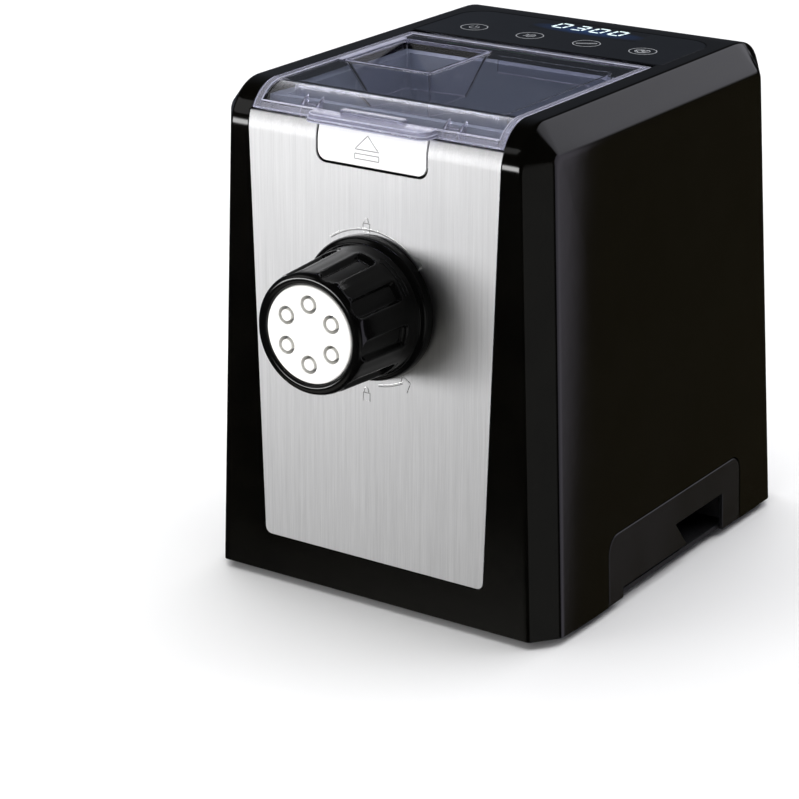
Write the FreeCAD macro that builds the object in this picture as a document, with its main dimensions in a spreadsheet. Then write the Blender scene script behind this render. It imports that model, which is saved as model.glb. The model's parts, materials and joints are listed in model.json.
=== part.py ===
import FreeCAD, Part
import math
import os
import Sketcher

# Electric pasta maker with a vertical body, a front extrusion head and a clear
# hinged lid.  Millimetres.  While modelling, y = 0 is the flat front face (+Y to
# the rear), z = 0 is the lower edge of the body and x = 0 the middle plane.
# Every sub-part then gets the same Placement, which puts the origin at the
# middle of the footprint, on the table.

V = FreeCAD.Vector
doc = FreeCAD.newDocument("PastaMaker")
sheet = doc.addObject("Spreadsheet::Sheet", "Dims")


class Q:
    """A size: its number and the sheet expression that gives it."""

    def __init__(self, v, s):
        self.v = float(v)
        self.s = s

    def _op(self, o, sign, fn):
        o = q(o)
        return Q(fn(self.v, o.v), "(" + self.s + sign + o.s + ")")

    def __add__(self, o):
        return self._op(o, " + ", lambda a, b: a + b)

    def __radd__(self, o):
        return q(o) + self

    def __sub__(self, o):
        return self._op(o, " - ", lambda a, b: a - b)

    def __rsub__(self, o):
        return q(o) - self

    def __mul__(self, o):
        return self._op(o, " * ", lambda a, b: a * b)

    def __rmul__(self, o):
        return q(o) * self

    def __truediv__(self, o):
        return self._op(o, " / ", lambda a, b: a / b)

    def __neg__(self):
        return Q(-self.v, "(0 - " + self.s + ")")


def q(x):
    if isinstance(x, Q):
        return x
    t = repr(float(x))
    return Q(x, t if float(x) >= 0 else "(" + t + ")")


_row = [0]


def dim(alias, value, note=""):
    _row[0] += 1
    r = _row[0]
    sheet.set("A%d" % r, alias)
    sheet.set("B%d" % r, repr(value))
    sheet.setAlias("B%d" % r, alias)
    if note:
        sheet.set("C%d" % r, note)
    return Q(value, "Dims." + alias)


# ---------------------------------------------------------------- main sizes
height = dim("body_height", 300.0, "lower edge to top plane")
shift_y = dim("shift_y", -117.0, "origin is the middle of the footprint")
foot_h = dim("foot_height", 5.0)
side_w = dim("side_half_width", 122.21, "half width of side faces at the bottom")
tilt = dim("side_tilt", 2.2563, "lean of each side face, degrees")
tilt_k = dim("tilt_factor", 1.000776, "1/cos of the lean")
bev_x = dim("bevel_x", 13.58, "bevel between band and side face, across")
bev_y = dim("bevel_y", 16.14, "the same bevel, along the depth or height")
wall = dim("shell_wall", 3.0)
r_front = dim("front_top_radius", 26.0)
r_side = dim("side_corner_radius", 4.2)
back_side_bottom = dim("side_rear_bottom", 275.0)
back_side_top = dim("side_rear_top", 257.5)
back_bottom = dim("back_bottom", 296.0)
back_top = dim("back_top", 279.3)
top_rear = dim("top_plane_rear", 259.0)
rear_cham = dim("rear_top_chamfer", 13.0)
seam_y = dim("rear_seam_y", 276.0, "rear cover seam near z = 0")
seam_deg = dim("rear_seam_tilt", 3.6)
axis_z = dim("axis_height", 182.4, "extrusion axis above the lower edge")
panel_lo = dim("steel_bottom", 24.9)
panel_hi = dim("steel_top", 285.0)
panel_w_lo = dim("steel_half_bottom", 77.1)
panel_w_hi = dim("steel_half_top", 85.4)
panel_t = dim("steel_thickness", 1.0)
tab_lo = dim("button_bottom", 262.6)
tab_hi = dim("button_top", 285.5)
tab_half = dim("button_half", 37.3)
tab_travel = dim("button_travel", 2.5)
lid_half = dim("lid_half", 84.5)
lid_y = dim("lid_hinge_y", 170.0)
lid_z = dim("lid_hinge_z", 297.0)
pin_r = dim("hinge_pin_radius", 1.5)
tube_in = dim("tube_bore_radius", 21.0)
tube_out = dim("tube_outer_radius", 27.0)
nut_flange = dim("nut_flange_radius", 42.6)
nut_front = dim("nut_front", 62.0, "how far the nut stands out")
nut_rim = dim("nut_rim_radius", 34.1)
nut_lip = dim("nut_lip_radius", 28.7)
nut_bore = dim("nut_bore_radius", 30.6)
cham_r = dim("chamber_radius", 62.0)
cham_top = dim("chamber_top", 288.0)
cham_wt = dim("chamber_top_half", 74.0)
cham_y0 = dim("chamber_front", 20.0)
cham_y1 = dim("chamber_rear", 153.0)
shaft_r = dim("drive_shaft_radius", 6.0)
plate_y = dim("gear_plate_y", 158.0)
plate_t = dim("gear_plate_thickness", 3.0)
gear_m1 = dim("first_stage_module", 1.5)
gear_m2 = dim("second_stage_module", 2.0)
teeth_pinion = dim("pinion_teeth", 12)
teeth_large = dim("large_idler_teeth", 60)
teeth_small = dim("small_idler_teeth", 15)
teeth_out = dim("output_teeth", 43)
mesh_play = dim("centre_distance_play", 0.2)
line_x = dim("gear_line_x", 0.4020, "direction from motor to output axis")
line_z = dim("gear_line_z", 0.91564)
motor_r = dim("motor_radius", 30.0)
dr_y0 = dim("drawer_front_y0", 69.0)
dr_y1 = dim("drawer_front_y1", 234.0)
dr_h = dim("drawer_front_height", 43.0)
tray_x0 = dim("tray_inner_end", 22.0)
tray_y0 = dim("tray_y0", 74.0)
tray_y1 = dim("tray_y1", 229.0)
tray_z0 = dim("tray_bottom", 7.0)
tray_z1 = dim("tray_top", 40.0)
ctl_half = dim("control_panel_half", 87.0)
ctl_y0 = dim("control_panel_front", 174.0)
ctl_y1 = dim("control_panel_rear", 244.0)
ctl_t = dim("control_panel_thickness", 1.5)
gland_x = dim("gland_x", -80.0)
gland_z = dim("gland_z", 34.0)

doc.recompute()


# ---------------------------------------------------------------- helpers
def bind(obj, prop, value):
    value = q(value)
    if "Dims." in value.s:
        obj.setExpression(prop, value.s)
    return value.v


def setp(obj, prop, value):
    value = q(value)
    setattr(obj, prop, value.v)
    bind(obj, prop, value)


def at(obj, x, y, z, axis=None, deg=0.0):
    x, y, z = q(x), q(y), q(z)
    rot = FreeCAD.Rotation(axis, q(deg).v) if axis else FreeCAD.Rotation()
    obj.Placement = FreeCAD.Placement(V(x.v, y.v, z.v), rot)
    for n, w in (("x", x), ("y", y), ("z", z)):
        bind(obj, "Placement.Base." + n, w)
    return obj


def box(name, x0, x1, y0, y1, z0, z1):
    b = doc.addObject("Part::Box", name)
    setp(b, "Length", q(x1) - x0)
    setp(b, "Width", q(y1) - y0)
    setp(b, "Height", q(z1) - z0)
    return at(b, x0, y0, z0)


DIRS = {"x": (V(0, 1, 0), 90), "y": (V(1, 0, 0), -90), "z": (None, 0)}


def cyl(name, d, r, x, y, z, length):
    """Cylinder from (x, y, z) along +X, +Y or +Z."""
    c = doc.addObject("Part::Cylinder", name)
    setp(c, "Radius", r)
    setp(c, "Height", length)
    a, g = DIRS[d]
    return at(c, x, y, z, a, g)


def cut(name, base, tool):
    c = doc.addObject("Part::Cut", name)
    c.Base = base
    c.Tool = tool
    return c


def fuse(name, *objs):
    c = doc.addObject("Part::MultiFuse", name)
    c.Shapes = list(objs)
    return c


def common(name, *objs):
    c = doc.addObject("Part::MultiCommon", name)
    c.Shapes = list(objs)
    return c


nodes = []


def node(obj, label):
    """Make obj a sub-part: its own label, and the Placement into the frame."""
    obj.Label = label
    p = obj.Placement
    if obj.TypeId == "PartDesign::Body" or obj.TypeId.startswith(
            ("Part::Cut", "Part::Multi", "Part::Feature", "Part::Fillet")):
        obj.Placement = FreeCAD.Placement(V(p.Base.x, shift_y.v + p.Base.y, foot_h.v + p.Base.z),
                                          p.Rotation)
        bind(obj, "Placement.Base.y", shift_y + p.Base.y)
        bind(obj, "Placement.Base.z", foot_h + p.Base.z)
    nodes.append(obj)
    return obj


def body(name):
    return doc.addObject("PartDesign::Body", name)


def plane(b, role):
    return [o for o in b.Origin.OriginFeatures if o.Role == role][0]


def sketch(b, name, role, off=0.0, lean=None):
    s = b.newObject("Sketcher::SketchObject", name)
    s.AttachmentSupport = [(plane(b, role), "")]
    s.MapMode = "FlatFace"
    off = q(off)
    rot = FreeCAD.Rotation(V(1, 0, 0), lean.v) if lean is not None else FreeCAD.Rotation()
    s.AttachmentOffset = FreeCAD.Placement(V(0, 0, off.v), rot)
    bind(s, "AttachmentOffset.Base.z", off)
    return s


def place_pt(s, g, pos, x, y, which="xy"):
    x, y = q(x), q(y)
    if "x" in which:
        i = s.addConstraint(Sketcher.Constraint("DistanceX", -1, 1, g, pos, x.v))
        bind(s, "Constraints[%d]" % i, x)
    if "y" in which:
        i = s.addConstraint(Sketcher.Constraint("DistanceY", -1, 1, g, pos, y.v))
        bind(s, "Constraints[%d]" % i, y)


def poly(s, pts):
    """Closed polygon whose corners are bound to the sheet."""
    pts = [(q(a), q(b)) for a, b in pts]
    n = len(pts)
    g0 = s.GeometryCount
    for i in range(n):
        a, b = pts[i], pts[(i + 1) % n]
        s.addGeometry(Part.LineSegment(V(a[0].v, a[1].v, 0), V(b[0].v, b[1].v, 0)), False)
    for i in range(n):
        s.addConstraint(Sketcher.Constraint("Coincident", g0 + i, 2, g0 + (i + 1) % n, 1))
    for i in range(n):
        place_pt(s, g0 + i, 1, pts[i][0], pts[i][1])


def circle(s, x, y, r):
    x, y, r = q(x), q(y), q(r)
    g = s.addGeometry(Part.Circle(V(x.v, y.v, 0), V(0, 0, 1), r.v), False)
    place_pt(s, g, 3, x, y)
    i = s.addConstraint(Sketcher.Constraint("Radius", g, r.v))
    bind(s, "Constraints[%d]" % i, r)


def pad(b, s, length, name, rev=False):
    p = b.newObject("PartDesign::Pad", name)
    p.Profile = s
    setp(p, "Length", length)
    p.Reversed = rev
    return p


def pocket(b, s, length, name, rev=False):
    p = b.newObject("PartDesign::Pocket", name)
    p.Profile = s
    setp(p, "Length", length)
    p.Reversed = rev
    return p


def revolve(b, s, name):
    """Full turn about the sketch's own vertical axis."""
    r = b.newObject("PartDesign::Revolution", name)
    r.Profile = s
    r.ReferenceAxis = (s, ["V_Axis"])
    r.Angle = 360.0
    return r


def groove(b, s, name):
    r = b.newObject("PartDesign::Groove", name)
    r.Profile = s
    r.ReferenceAxis = (s, ["V_Axis"])
    r.Angle = 360.0
    return r


# ---------------------------------------------------------------- body form
# The outer form: a tapered block.  Seen from the side it has a vertical front,
# a rounded front top edge, a chamfered rear top edge and a back that leans.
# Four ruled sections: left side face, left edge of the band, right edge of the
# band, right side face.  "inset" gives the same form further in.
def form(name, inset, below):
    b = body(name)
    inset = q(inset)
    secs = []
    for tag, half, lean, side in (("L_side", -(side_w - inset), tilt, True),
                                  ("L_band", -(side_w - bev_x - inset), tilt, False),
                                  ("R_band", side_w - bev_x - inset, -tilt, False),
                                  ("R_side", side_w - inset, -tilt, True)):
        s = sketch(b, name + "_" + tag, "YZ_Plane", half, lean)
        if side:
            yf, zt, rr = bev_y + inset, height - bev_y - inset, r_side - inset
            y_top, z_ch = back_side_top - 4.0 - inset, height - bev_y - 4.0 - inset
            y_ct, y_cb = back_side_top - inset, back_side_bottom - inset
        else:
            yf, zt, rr = q(inset), height - inset, r_front - inset
            y_top, z_ch = top_rear - inset * 0.4, height - rear_cham - inset * 0.6
            y_ct, y_cb = back_top - inset, back_bottom - inset
        zt, z_ch, zb = zt * tilt_k, z_ch * tilt_k, q(below)
        if side and rr.v < 0.6:
            rr = q(0.6)
        cy, cz = yf + rr, zt - rr
        P = [(yf, zb), (yf, cz), (cy, zt), (y_top, zt), (y_ct, z_ch), (y_cb, zb)]
        ln = Part.LineSegment
        pt = [V(a.v, c.v, 0) for a, c in P]
        s.addGeometry(ln(pt[0], pt[1]), False)
        mid = V(cy.v - rr.v * math.sqrt(0.5), cz.v + rr.v * math.sqrt(0.5), 0)
        s.addGeometry(Part.Arc(pt[1], mid, pt[2]), False)
        s.addGeometry(ln(pt[2], pt[3]), False)
        s.addGeometry(ln(pt[3], pt[4]), False)
        s.addGeometry(ln(pt[4], pt[5]), False)
        s.addGeometry(ln(pt[5], pt[0]), False)
        # the arc runs counter-clockwise, from the top point to the front one
        C = Sketcher.Constraint
        s.addConstraint(C("Coincident", 0, 2, 1, 2))
        s.addConstraint(C("Coincident", 1, 1, 2, 1))
        s.addConstraint(C("Coincident", 2, 2, 3, 1))
        s.addConstraint(C("Coincident", 3, 2, 4, 1))
        s.addConstraint(C("Coincident", 4, 2, 5, 1))
        s.addConstraint(C("Coincident", 5, 2, 0, 1))
        place_pt(s, 0, 1, *P[0])
        place_pt(s, 1, 3, cy, cz)
        i = s.addConstraint(C("Radius", 1, rr.v))
        bind(s, "Constraints[%d]" % i, rr)
        place_pt(s, 1, 1, cy, zt, "x")
        place_pt(s, 1, 2, yf, cz, "y")
        place_pt(s, 3, 1, *P[3])
        place_pt(s, 4, 1, *P[4])
        place_pt(s, 5, 1, *P[5])
        secs.append(s)
    doc.recompute()
    lo = b.newObject("PartDesign::AdditiveLoft", name + "_loft")
    lo.Profile = secs[0]
    lo.Sections = secs[1:]
    lo.Ruled = True
    lo.Closed = False
    b.Tip = lo
    doc.recompute()
    return b


form_outer = form("form_outer", 0.0, 0.0)
form_skin = form("form_skin", panel_t, -1.0)
form_recess = form("form_recess", 1.3, -1.0)
form_button = form("form_button", 2.5, -1.0)
form_glass = form("form_glass", ctl_t, -1.0)
form_inner = form("form_inner", wall, -1.0)
form_base = form("form_base", wall + 0.4, -1.0)

shell = cut("shell_solid", form_outer, form_inner)


def seam_box(name, dy):
    b = doc.addObject("Part::Box", name)
    b.Length = 300
    b.Width = 120
    b.Height = 420
    rot = FreeCAD.Rotation(V(1, 0, 0), seam_deg.v)
    b.Placement = FreeCAD.Placement(V(-150, seam_y.v + dy + 1.8, -20), rot)
    bind(b, "Placement.Base.y", seam_y + dy + 1.8)
    bind(b, "Placement.Rotation.Angle", seam_deg)
    return b


# ---------------------------------------------------------------- outlines
def outline_xz(name, pts, y0, y1, corners=()):
    """Prism along Y with a polygon outline in X and Z, some corners rounded."""
    b = body(name)
    s = sketch(b, name + "_sk", "XZ_Plane", -q(y0))
    poly(s, pts)
    doc.recompute()
    pad(b, s, q(y1) - y0, name + "_pad", True)
    doc.recompute()
    round_corners(b, name, corners, "y")
    return b


def round_corners(b, name, corners, along):
    """Fillet the straight edges along one axis that pass near given points."""
    for k, (c0, c1, r) in enumerate(corners):
        shp = b.Shape
        hit = []
        for i, e in enumerate(shp.Edges, 1):
            if len(e.Vertexes) != 2:
                continue
            p, t = e.Vertexes[0].Point, e.Vertexes[1].Point
            if along == "y":
                near = all(abs(u.x - q(c0).v) + abs(u.z - q(c1).v) < 0.05 for u in (p, t))
            elif along == "z":
                near = all(abs(u.x - q(c0).v) + abs(u.y - q(c1).v) < 0.05 for u in (p, t))
            else:
                near = all(abs(u.y - q(c0).v) + abs(u.z - q(c1).v) < 0.05 for u in (p, t))
            if near:
                hit.append("Edge%d" % i)
        if not hit:
            raise RuntimeError("no edge to round on " + name)
        last = b.Tip
        f = b.newObject("PartDesign::Fillet", name + "_round%d" % k)
        f.Base = (last, hit)
        setp(f, "Radius", r)
        b.Tip = f
        doc.recompute()


def steel_outline(name, grow, y0, y1):
    w0, w1 = panel_w_lo + grow, panel_w_hi + grow
    z0, z1 = panel_lo - grow, panel_hi + 0.0
    return outline_xz(name, [(-w0, z0), (w0, z0), (w1, z1), (-w1, z1)], y0, y1,
                      [(-w0, z0, 4.5 + grow), (w0, z0, 4.5 + grow)])


def tab_outline(name, grow, y0, y1, top):
    w = tab_half + grow
    z0 = tab_lo - grow
    return outline_xz(name, [(-w, z0), (w, z0), (w, top), (-w, top)], y0, y1,
                      [(-w, z0, 6.0 + grow), (w, z0, 6.0 + grow)])


# steel front panel: thin sheet on the front face, bent with it at the top
steel_prism = steel_outline("steel_prism", 0.0, -6.0, 14.0)
steel_skin = cut("steel_skin", form_outer, form_skin)
steel_raw = common("steel_raw", steel_skin, steel_prism)
steel_hole = cyl("steel_hole", "y", 31.0, 0, -20, axis_z, 60)
steel_tab = tab_outline("steel_tab", 0.5, -6.0, 14.0, panel_hi + 6.0)
front_panel = node(cut("front_panel_cut", cut("steel_a", steel_raw, steel_hole), steel_tab),
                   "front_panel")

# main housing: front band, side faces and top band in one moulding
recess_prism = steel_outline("recess_prism", 0.6, -6.0, 14.0)
recess_tool = cut("recess_tool", recess_prism, form_recess)
tab_window = tab_outline("tab_window", 1.2, -6.0, 20.0, panel_hi + 6.0)
tube_hole = cyl("tube_hole", "y", 31.0, 0, -20, axis_z, 40)
lid_open = box("lid_open", -(lid_half + 0.6), lid_half + 0.6, -10, lid_y + 3.4, panel_hi + 0.4, 320)


def ctl_prism(name, grow, z0, z1, y0):
    b = body(name)
    s = sketch(b, name + "_sk", "XY_Plane", z0)
    w, y1 = ctl_half + grow, ctl_y1 + grow
    poly(s, [(-w, y0), (w, y0), (w, y1), (-w, y1)])
    doc.recompute()
    pad(b, s, q(z1) - z0, name + "_pad")
    doc.recompute()
    round_corners(b, name, [(-w, y1, 18.0 + grow), (w, y1, 18.0 + grow)], "z")
    return b


glass_recess = cut("glass_recess", ctl_prism("glass_recess_prism", 0.4, 280.0, 310.0, lid_y + 3.2),
                   form_glass)
glass_window = box("glass_window", -60, 60, 186, 236, 280, 310)
drawer_hole_b = body("drawer_hole")
s = sketch(drawer_hole_b, "drawer_hole_sk", "YZ_Plane", 60.0)
hy0, hy1, hz = dr_y0 - 0.8, dr_y1 + 0.8, dr_h + 0.8
poly(s, [(hy0, -2.0), (hy1, -2.0), (hy1, hz), (hy0, hz)])
doc.recompute()
pad(drawer_hole_b, s, 90.0, "drawer_hole_pad")
doc.recompute()
round_corners(drawer_hole_b, "drawer_hole", [(hy0, hz, 11.0), (hy1, hz, 11.0)], "x")

bosses = [box("hinge_boss_R", lid_half + 0.8, 93, 165, 176, 290, 298),
          box("hinge_boss_L", -93, -(lid_half + 0.8), 165, 176, 290, 298)]
for i, (x, z) in enumerate(((-70, 100), (70, 100), (-70, 245), (70, 245))):
    bosses.append(cyl("front_boss%d" % i, "y", 4.0, x, 2.0, z, 7.0))
for i, (x, y) in enumerate(((-66, 190), (66, 190), (-66, 234), (66, 234))):
    bosses.append(cyl("board_post%d" % i, "z", 3.0, x, y, 290.6, 7.4))
for i, (x0, x1, y0, y1) in enumerate(((104, 121, 36, 48), (-121, -104, 36, 48),
                                      (104, 121, 246, 258), (-121, -104, 246, 258))):
    bosses.append(common("base_boss%d" % i, box("base_boss_b%d" % i, x0, x1, y0, y1, 3.0, 16.0),
                         form_skin))
hinge_holes = cyl("hinge_holes", "x", pin_r, -92.0, lid_y, lid_z, 184.0)
SCREWS = ((109, 42), (-109, 42), (109, 252), (-109, 252))
screw_holes = fuse("screw_holes", *[cyl("screw_hole%d" % i, "z", 1.7, x, y, -2, 16)
                                    for i, (x, y) in enumerate(SCREWS)])
seam_tool = seam_box("seam_tool", 0.0)
h0 = cut("housing_a", shell, recess_tool)
h1 = cut("housing_b", h0, fuse("front_openings", tab_window, tube_hole, lid_open))
h2 = cut("housing_c", h1, fuse("top_openings", glass_recess, glass_window))
h3 = cut("housing_d", h2, drawer_hole_b)
h4 = cut("housing_e", h3, seam_tool)
h5 = fuse("housing_f", h4, *bosses)
main_housing = node(cut("main_housing_cut", h5, fuse("housing_holes", hinge_holes, screw_holes)),
                    "main_housing")

# rear cover: the leaning back and its bevels, with vents and a cable hole
rear_raw = common("rear_raw", shell, seam_box("rear_keep", 0.3))
vents = []
for i in range(9):
    vents.append(box("vent%d" % i, -62, 62, 240, 300, 110 + 11 * i, 115 + 11 * i))
    vents.append(box("low_vent%d" % i, -26 + 13 * i, -21 + 13 * i, 240, 300, 22, 60))
vents.append(cyl("gland_hole", "y", 9.0, gland_x, 240, gland_z, 60))
rear_cover = node(cut("rear_cover_cut", rear_raw, fuse("vent_cuts", *vents)), "rear_cover")

# cable gland: a short flanged bush in the rear cover's cable hole
gb = body("cord_gland_body")
s = sketch(gb, "gland_sk", "XZ_Plane", 0.0)
poly(s, [(3.6, 0.0), (12.0, 0.0), (12.0, 1.2), (8.6, 1.2), (8.6, 4.4), (11.5, 4.4), (11.5, 6.8), (3.6, 6.8)])
doc.recompute()
revolve(gb, s, "gland_turn")
doc.recompute()
# the back leans, so the gland's axis is turned to stand square on it
back_lean = math.atan2(back_bottom.v - back_top.v, height.v - rear_cham.v)
gland_y = back_bottom.v - math.tan(back_lean) * gland_z.v
gb.Placement = FreeCAD.Placement(V(gland_x.v, gland_y + 1.2 * math.cos(back_lean),
                                   gland_z.v + 1.2 * math.sin(back_lean)),
                                 FreeCAD.Rotation(V(1, 0, 0), 90 + math.degrees(back_lean)))
bind(gb, "Placement.Base.x", gland_x)
cord_gland = node(gb, "cord_gland")

# base plate, feet and their screws
plate_box = box("plate_box", -119, 119, 2, 293, 0, 3)
bp0 = common("base_a", plate_box, form_base)
bvents = [box("base_vent%d" % i, -90, -40, 60 + 9 * i, 64 + 9 * i, -1, 4) for i in range(9)]
base_holes = fuse("base_holes", *([cyl("base_hole%d" % i, "z", 1.7, x, y, -2, 8)
                                   for i, (x, y) in enumerate(SCREWS)] + bvents))
base_plate = node(cut("base_plate_cut", bp0, base_holes), "base_plate")

FEET = (("foot_front_left", -98, 24), ("foot_front_right", 98, 24),
        ("foot_rear_left", -100, 222), ("foot_rear_right", 100, 222))
for nm, x, y in FEET:
    b = body(nm + "_body")
    s = sketch(b, nm + "_sk", "XZ_Plane", 0.0)
    poly(s, [(0.0, -foot_h), (8.6, -foot_h), (9.6, 1.0 - foot_h), (10.4, 0.0), (0.0, 0.0)])
    doc.recompute()
    revolve(b, s, nm + "_turn")
    doc.recompute()
    b.Placement = FreeCAD.Placement(V(x, y, 0), FreeCAD.Rotation())
    node(b, nm)

heads = []
for i, (x, y) in enumerate(SCREWS):
    heads.append(cyl("base_head%d" % i, "z", 3.4, x, y, -1.8, 1.8))
    heads.append(cyl("base_shank%d" % i, "z", 1.7, x, y, -0.5, 12.0))
node(fuse("base_screws_fuse", *heads), "base_screws")

# ---------------------------------------------------------------- front frame
# plate behind the front face, which carries the extrusion tube and the button
fr = body("front_bracket_body")
s = sketch(fr, "bracket_sk", "XZ_Plane", -9.0)
poly(s, [(-80, 90), (80, 90), (80, 262), (40, 262), (40, 281), (-40, 281), (-40, 262), (-80, 262)])
circle(s, 0.0, axis_z, tube_out)
circle(s, -25.0, 272.0, 2.8)
circle(s, 25.0, 272.0, 2.8)
doc.recompute()
pad(fr, s, 2.5, "bracket_pad", True)
doc.recompute()
node(fr, "front_bracket")

# release button: a plate flush with the steel, on two posts
btn_skin = cut("button_skin", form_outer, form_button)
btn_plate = common("button_plate", btn_skin, tab_outline("button_prism", 0.0, -6.0, 14.0, tab_hi))
btn_posts = [cyl("button_post%d" % i, "y", 2.5, x, 2.4, 272.0, 11.6) for i, x in enumerate((-25, 25))]
node(fuse("release_button_fuse", btn_plate, *btn_posts), "release_button")

# return springs of the button: plain sleeves of the coil's size
for nm, x in (("release_spring_left", -25), ("release_spring_right", 25)):
    b = body(nm + "_body")
    s = sketch(b, nm + "_sk", "XZ_Plane", -2.65)
    circle(s, x, 272.0, 3.9)
    circle(s, x, 272.0, 2.9)
    doc.recompute()
    pad(b, s, 6.35, nm + "_pad", True)
    doc.recompute()
    node(b, nm)

# lid switch
sw = fuse("lid_switch_fuse", box("switch_body", 50, 70, 11.5, 18.0, 250, 261),
          box("switch_lever", 52, 66, 13.0, 16.0, 261, 263.5))
node(sw, "lid_switch")

# ---------------------------------------------------------------- lid
lid_region = box("lid_region", -lid_half, lid_half, -10, lid_y, panel_hi + 1.0, 320)
lid_skin = common("lid_skin", shell, lid_region)
lid_barrel = cyl("lid_barrel", "x", 3.0, -lid_half, lid_y, lid_z, lid_half * 2)
tb = body("lid_tab_form")
s = sketch(tb, "lid_tab_sk", "XY_Plane", 286.2)
poly(s, [(-41.5, -8.0), (41.5, -8.0), (41.5, 6.0), (-41.5, 6.0)])
doc.recompute()
pad(tb, s, 5.0, "lid_tab_pad")
doc.recompute()
round_corners(tb, "lid_tab_form", [(-41.5, -8.0, 6.5), (41.5, -8.0, 6.5)], "z")
lid_tab_cut = cut("lid_tab_cut", tb, form_inner)
lid_sum = fuse("lid_sum", lid_skin, lid_barrel, lid_tab_cut)
funnel_open = box("funnel_open", -76, -14, 81, 149, 285, 310)
bore_r = cyl("lid_bore_R", "x", pin_r + 0.05, 72.5, lid_y, lid_z, 20.0)
bore_l = cyl("lid_bore_L", "x", pin_r + 0.05, -92.5, lid_y, lid_z, 20.0)
node(cut("lid_cut", lid_sum, fuse("lid_cuts", funnel_open, bore_r, bore_l)), "lid")

# filling funnel in the lid: a sloped rectangular hopper
fb = body("filling_funnel_body")


def rect_at(b, name, z, x0, x1, y0, y1):
    s = sketch(b, name, "XY_Plane", z)
    poly(s, [(x0, y0), (x1, y0), (x1, y1), (x0, y1)])
    return s


a0 = rect_at(fb, "funnel_top", 300.0, -76, -14, 81, 149)
a1 = rect_at(fb, "funnel_bottom", 272.0, -67, -23, 96, 136)
doc.recompute()
lo = fb.newObject("PartDesign::AdditiveLoft", "funnel_loft")
lo.Profile = a0
lo.Sections = [a1]
lo.Ruled = True
doc.recompute()
c0 = rect_at(fb, "funnel_in_top", 300.1, -73.6, -16.4, 83.4, 146.6)
c1 = rect_at(fb, "funnel_in_bottom", 271.9, -65, -25, 98, 134)
doc.recompute()
sl = fb.newObject("PartDesign::SubtractiveLoft", "funnel_hollow")
sl.Profile = c0
sl.Sections = [c1]
sl.Ruled = True
doc.recompute()
node(fb, "filling_funnel")

# hooks under the lid's front edge
for nm, x0, x1 in (("lid_hook_left", -52, -44), ("lid_hook_right", 44, 52)):
    raw = fuse(nm + "_raw", box(nm + "_arm", x0, x1, 7, 11, 276, 296),
               box(nm + "_tooth", x0, x1, 7, 14, 276, 279))
    node(common(nm + "_common", raw, form_inner), nm)

# hinge pins, one at each side
for nm, x in (("hinge_pin_left", -92.0), ("hinge_pin_right", 74.0)):
    b = body(nm + "_body")
    s = sketch(b, nm + "_sk", "YZ_Plane", x)
    circle(s, lid_y, lid_z, pin_r)
    doc.recompute()
    pad(b, s, 18.0, nm + "_pad")
    doc.recompute()
    node(b, nm)

# ---------------------------------------------------------------- chamber
# trough with a round bottom about the drive axis and walls that flare upwards
def trough_sketch(b, name, y, grow, top):
    s = sketch(b, name, "XZ_Plane", -q(y))
    r = cham_r + grow
    wt = cham_wt + grow
    zc = axis_z
    C = Sketcher.Constraint
    s.addGeometry(Part.Arc(V(-r.v, zc.v, 0), V(0, zc.v - r.v, 0), V(r.v, zc.v, 0)), False)
    s.addGeometry(Part.LineSegment(V(r.v, zc.v, 0), V(wt.v, q(top).v, 0)), False)
    s.addGeometry(Part.LineSegment(V(wt.v, q(top).v, 0), V(-wt.v, q(top).v, 0)), False)
    s.addGeometry(Part.LineSegment(V(-wt.v, q(top).v, 0), V(-r.v, zc.v, 0)), False)
    s.addConstraint(C("Coincident", 0, 2, 1, 1))
    s.addConstraint(C("Coincident", 1, 2, 2, 1))
    s.addConstraint(C("Coincident", 2, 2, 3, 1))
    s.addConstraint(C("Coincident", 3, 2, 0, 1))
    place_pt(s, 0, 3, 0.0, zc, "xy")
    i = s.addConstraint(C("Radius", 0, r.v))
    bind(s, "Constraints[%d]" % i, r)
    place_pt(s, 0, 1, -r, zc, "y")
    place_pt(s, 0, 2, r, zc, "y")
    place_pt(s, 2, 1, wt, top)
    place_pt(s, 3, 1, -wt, top)
    return s


cb = body("mixing_chamber_body")
s = trough_sketch(cb, "trough_out", cham_y0, 3.0, cham_top)
doc.recompute()
pad(cb, s, cham_y1 - cham_y0, "trough_pad", True)
doc.recompute()
s = sketch(cb, "rim_sk", "XY_Plane", cham_top - 0.5)
poly(s, [(-82, 17.5), (82, 17.5), (82, 157.9), (-82, 157.9)])
doc.recompute()
pad(cb, s, 3.5, "rim_pad")
doc.recompute()
s = sketch(cb, "rear_boss_sk", "XZ_Plane", -(cham_y1 - 0.5))
for x, z in ((-48, 146), (48, 146), (-62, 236), (62, 236)):
    circle(s, x, z, 5.0)
doc.recompute()
pad(cb, s, plate_y - cham_y1 + 0.5, "rear_boss_pad", True)
doc.recompute()
s = trough_sketch(cb, "trough_in", cham_y0 + 3.0, 0.0, cham_top + 6.0)
doc.recompute()
pk = pocket(cb, s, cham_y1 - cham_y0 - 6.0, "trough_pocket", False)
doc.recompute()
s = sketch(cb, "front_hole_sk", "XZ_Plane", -q(0.0))
circle(s, 0.0, axis_z, tube_in)
doc.recompute()
pocket(cb, s, 40.0, "front_hole", False)
doc.recompute()
s = sketch(cb, "rear_hole_sk", "XZ_Plane", -q(100.0))
circle(s, 0.0, axis_z, 12.0)
doc.recompute()
pocket(cb, s, 80.0, "rear_hole", False)
doc.recompute()
node(cb, "mixing_chamber")


def ring(name, r0, r1, y0, y1, x=0.0, z=axis_z):
    b = body(name + "_body")
    s = sketch(b, name + "_sk", "XZ_Plane", -q(y0))
    circle(s, x, z, r1)
    circle(s, x, z, r0)
    doc.recompute()
    pad(b, s, q(y1) - y0, name + "_pad", True)
    doc.recompute()
    return node(b, name)


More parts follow.
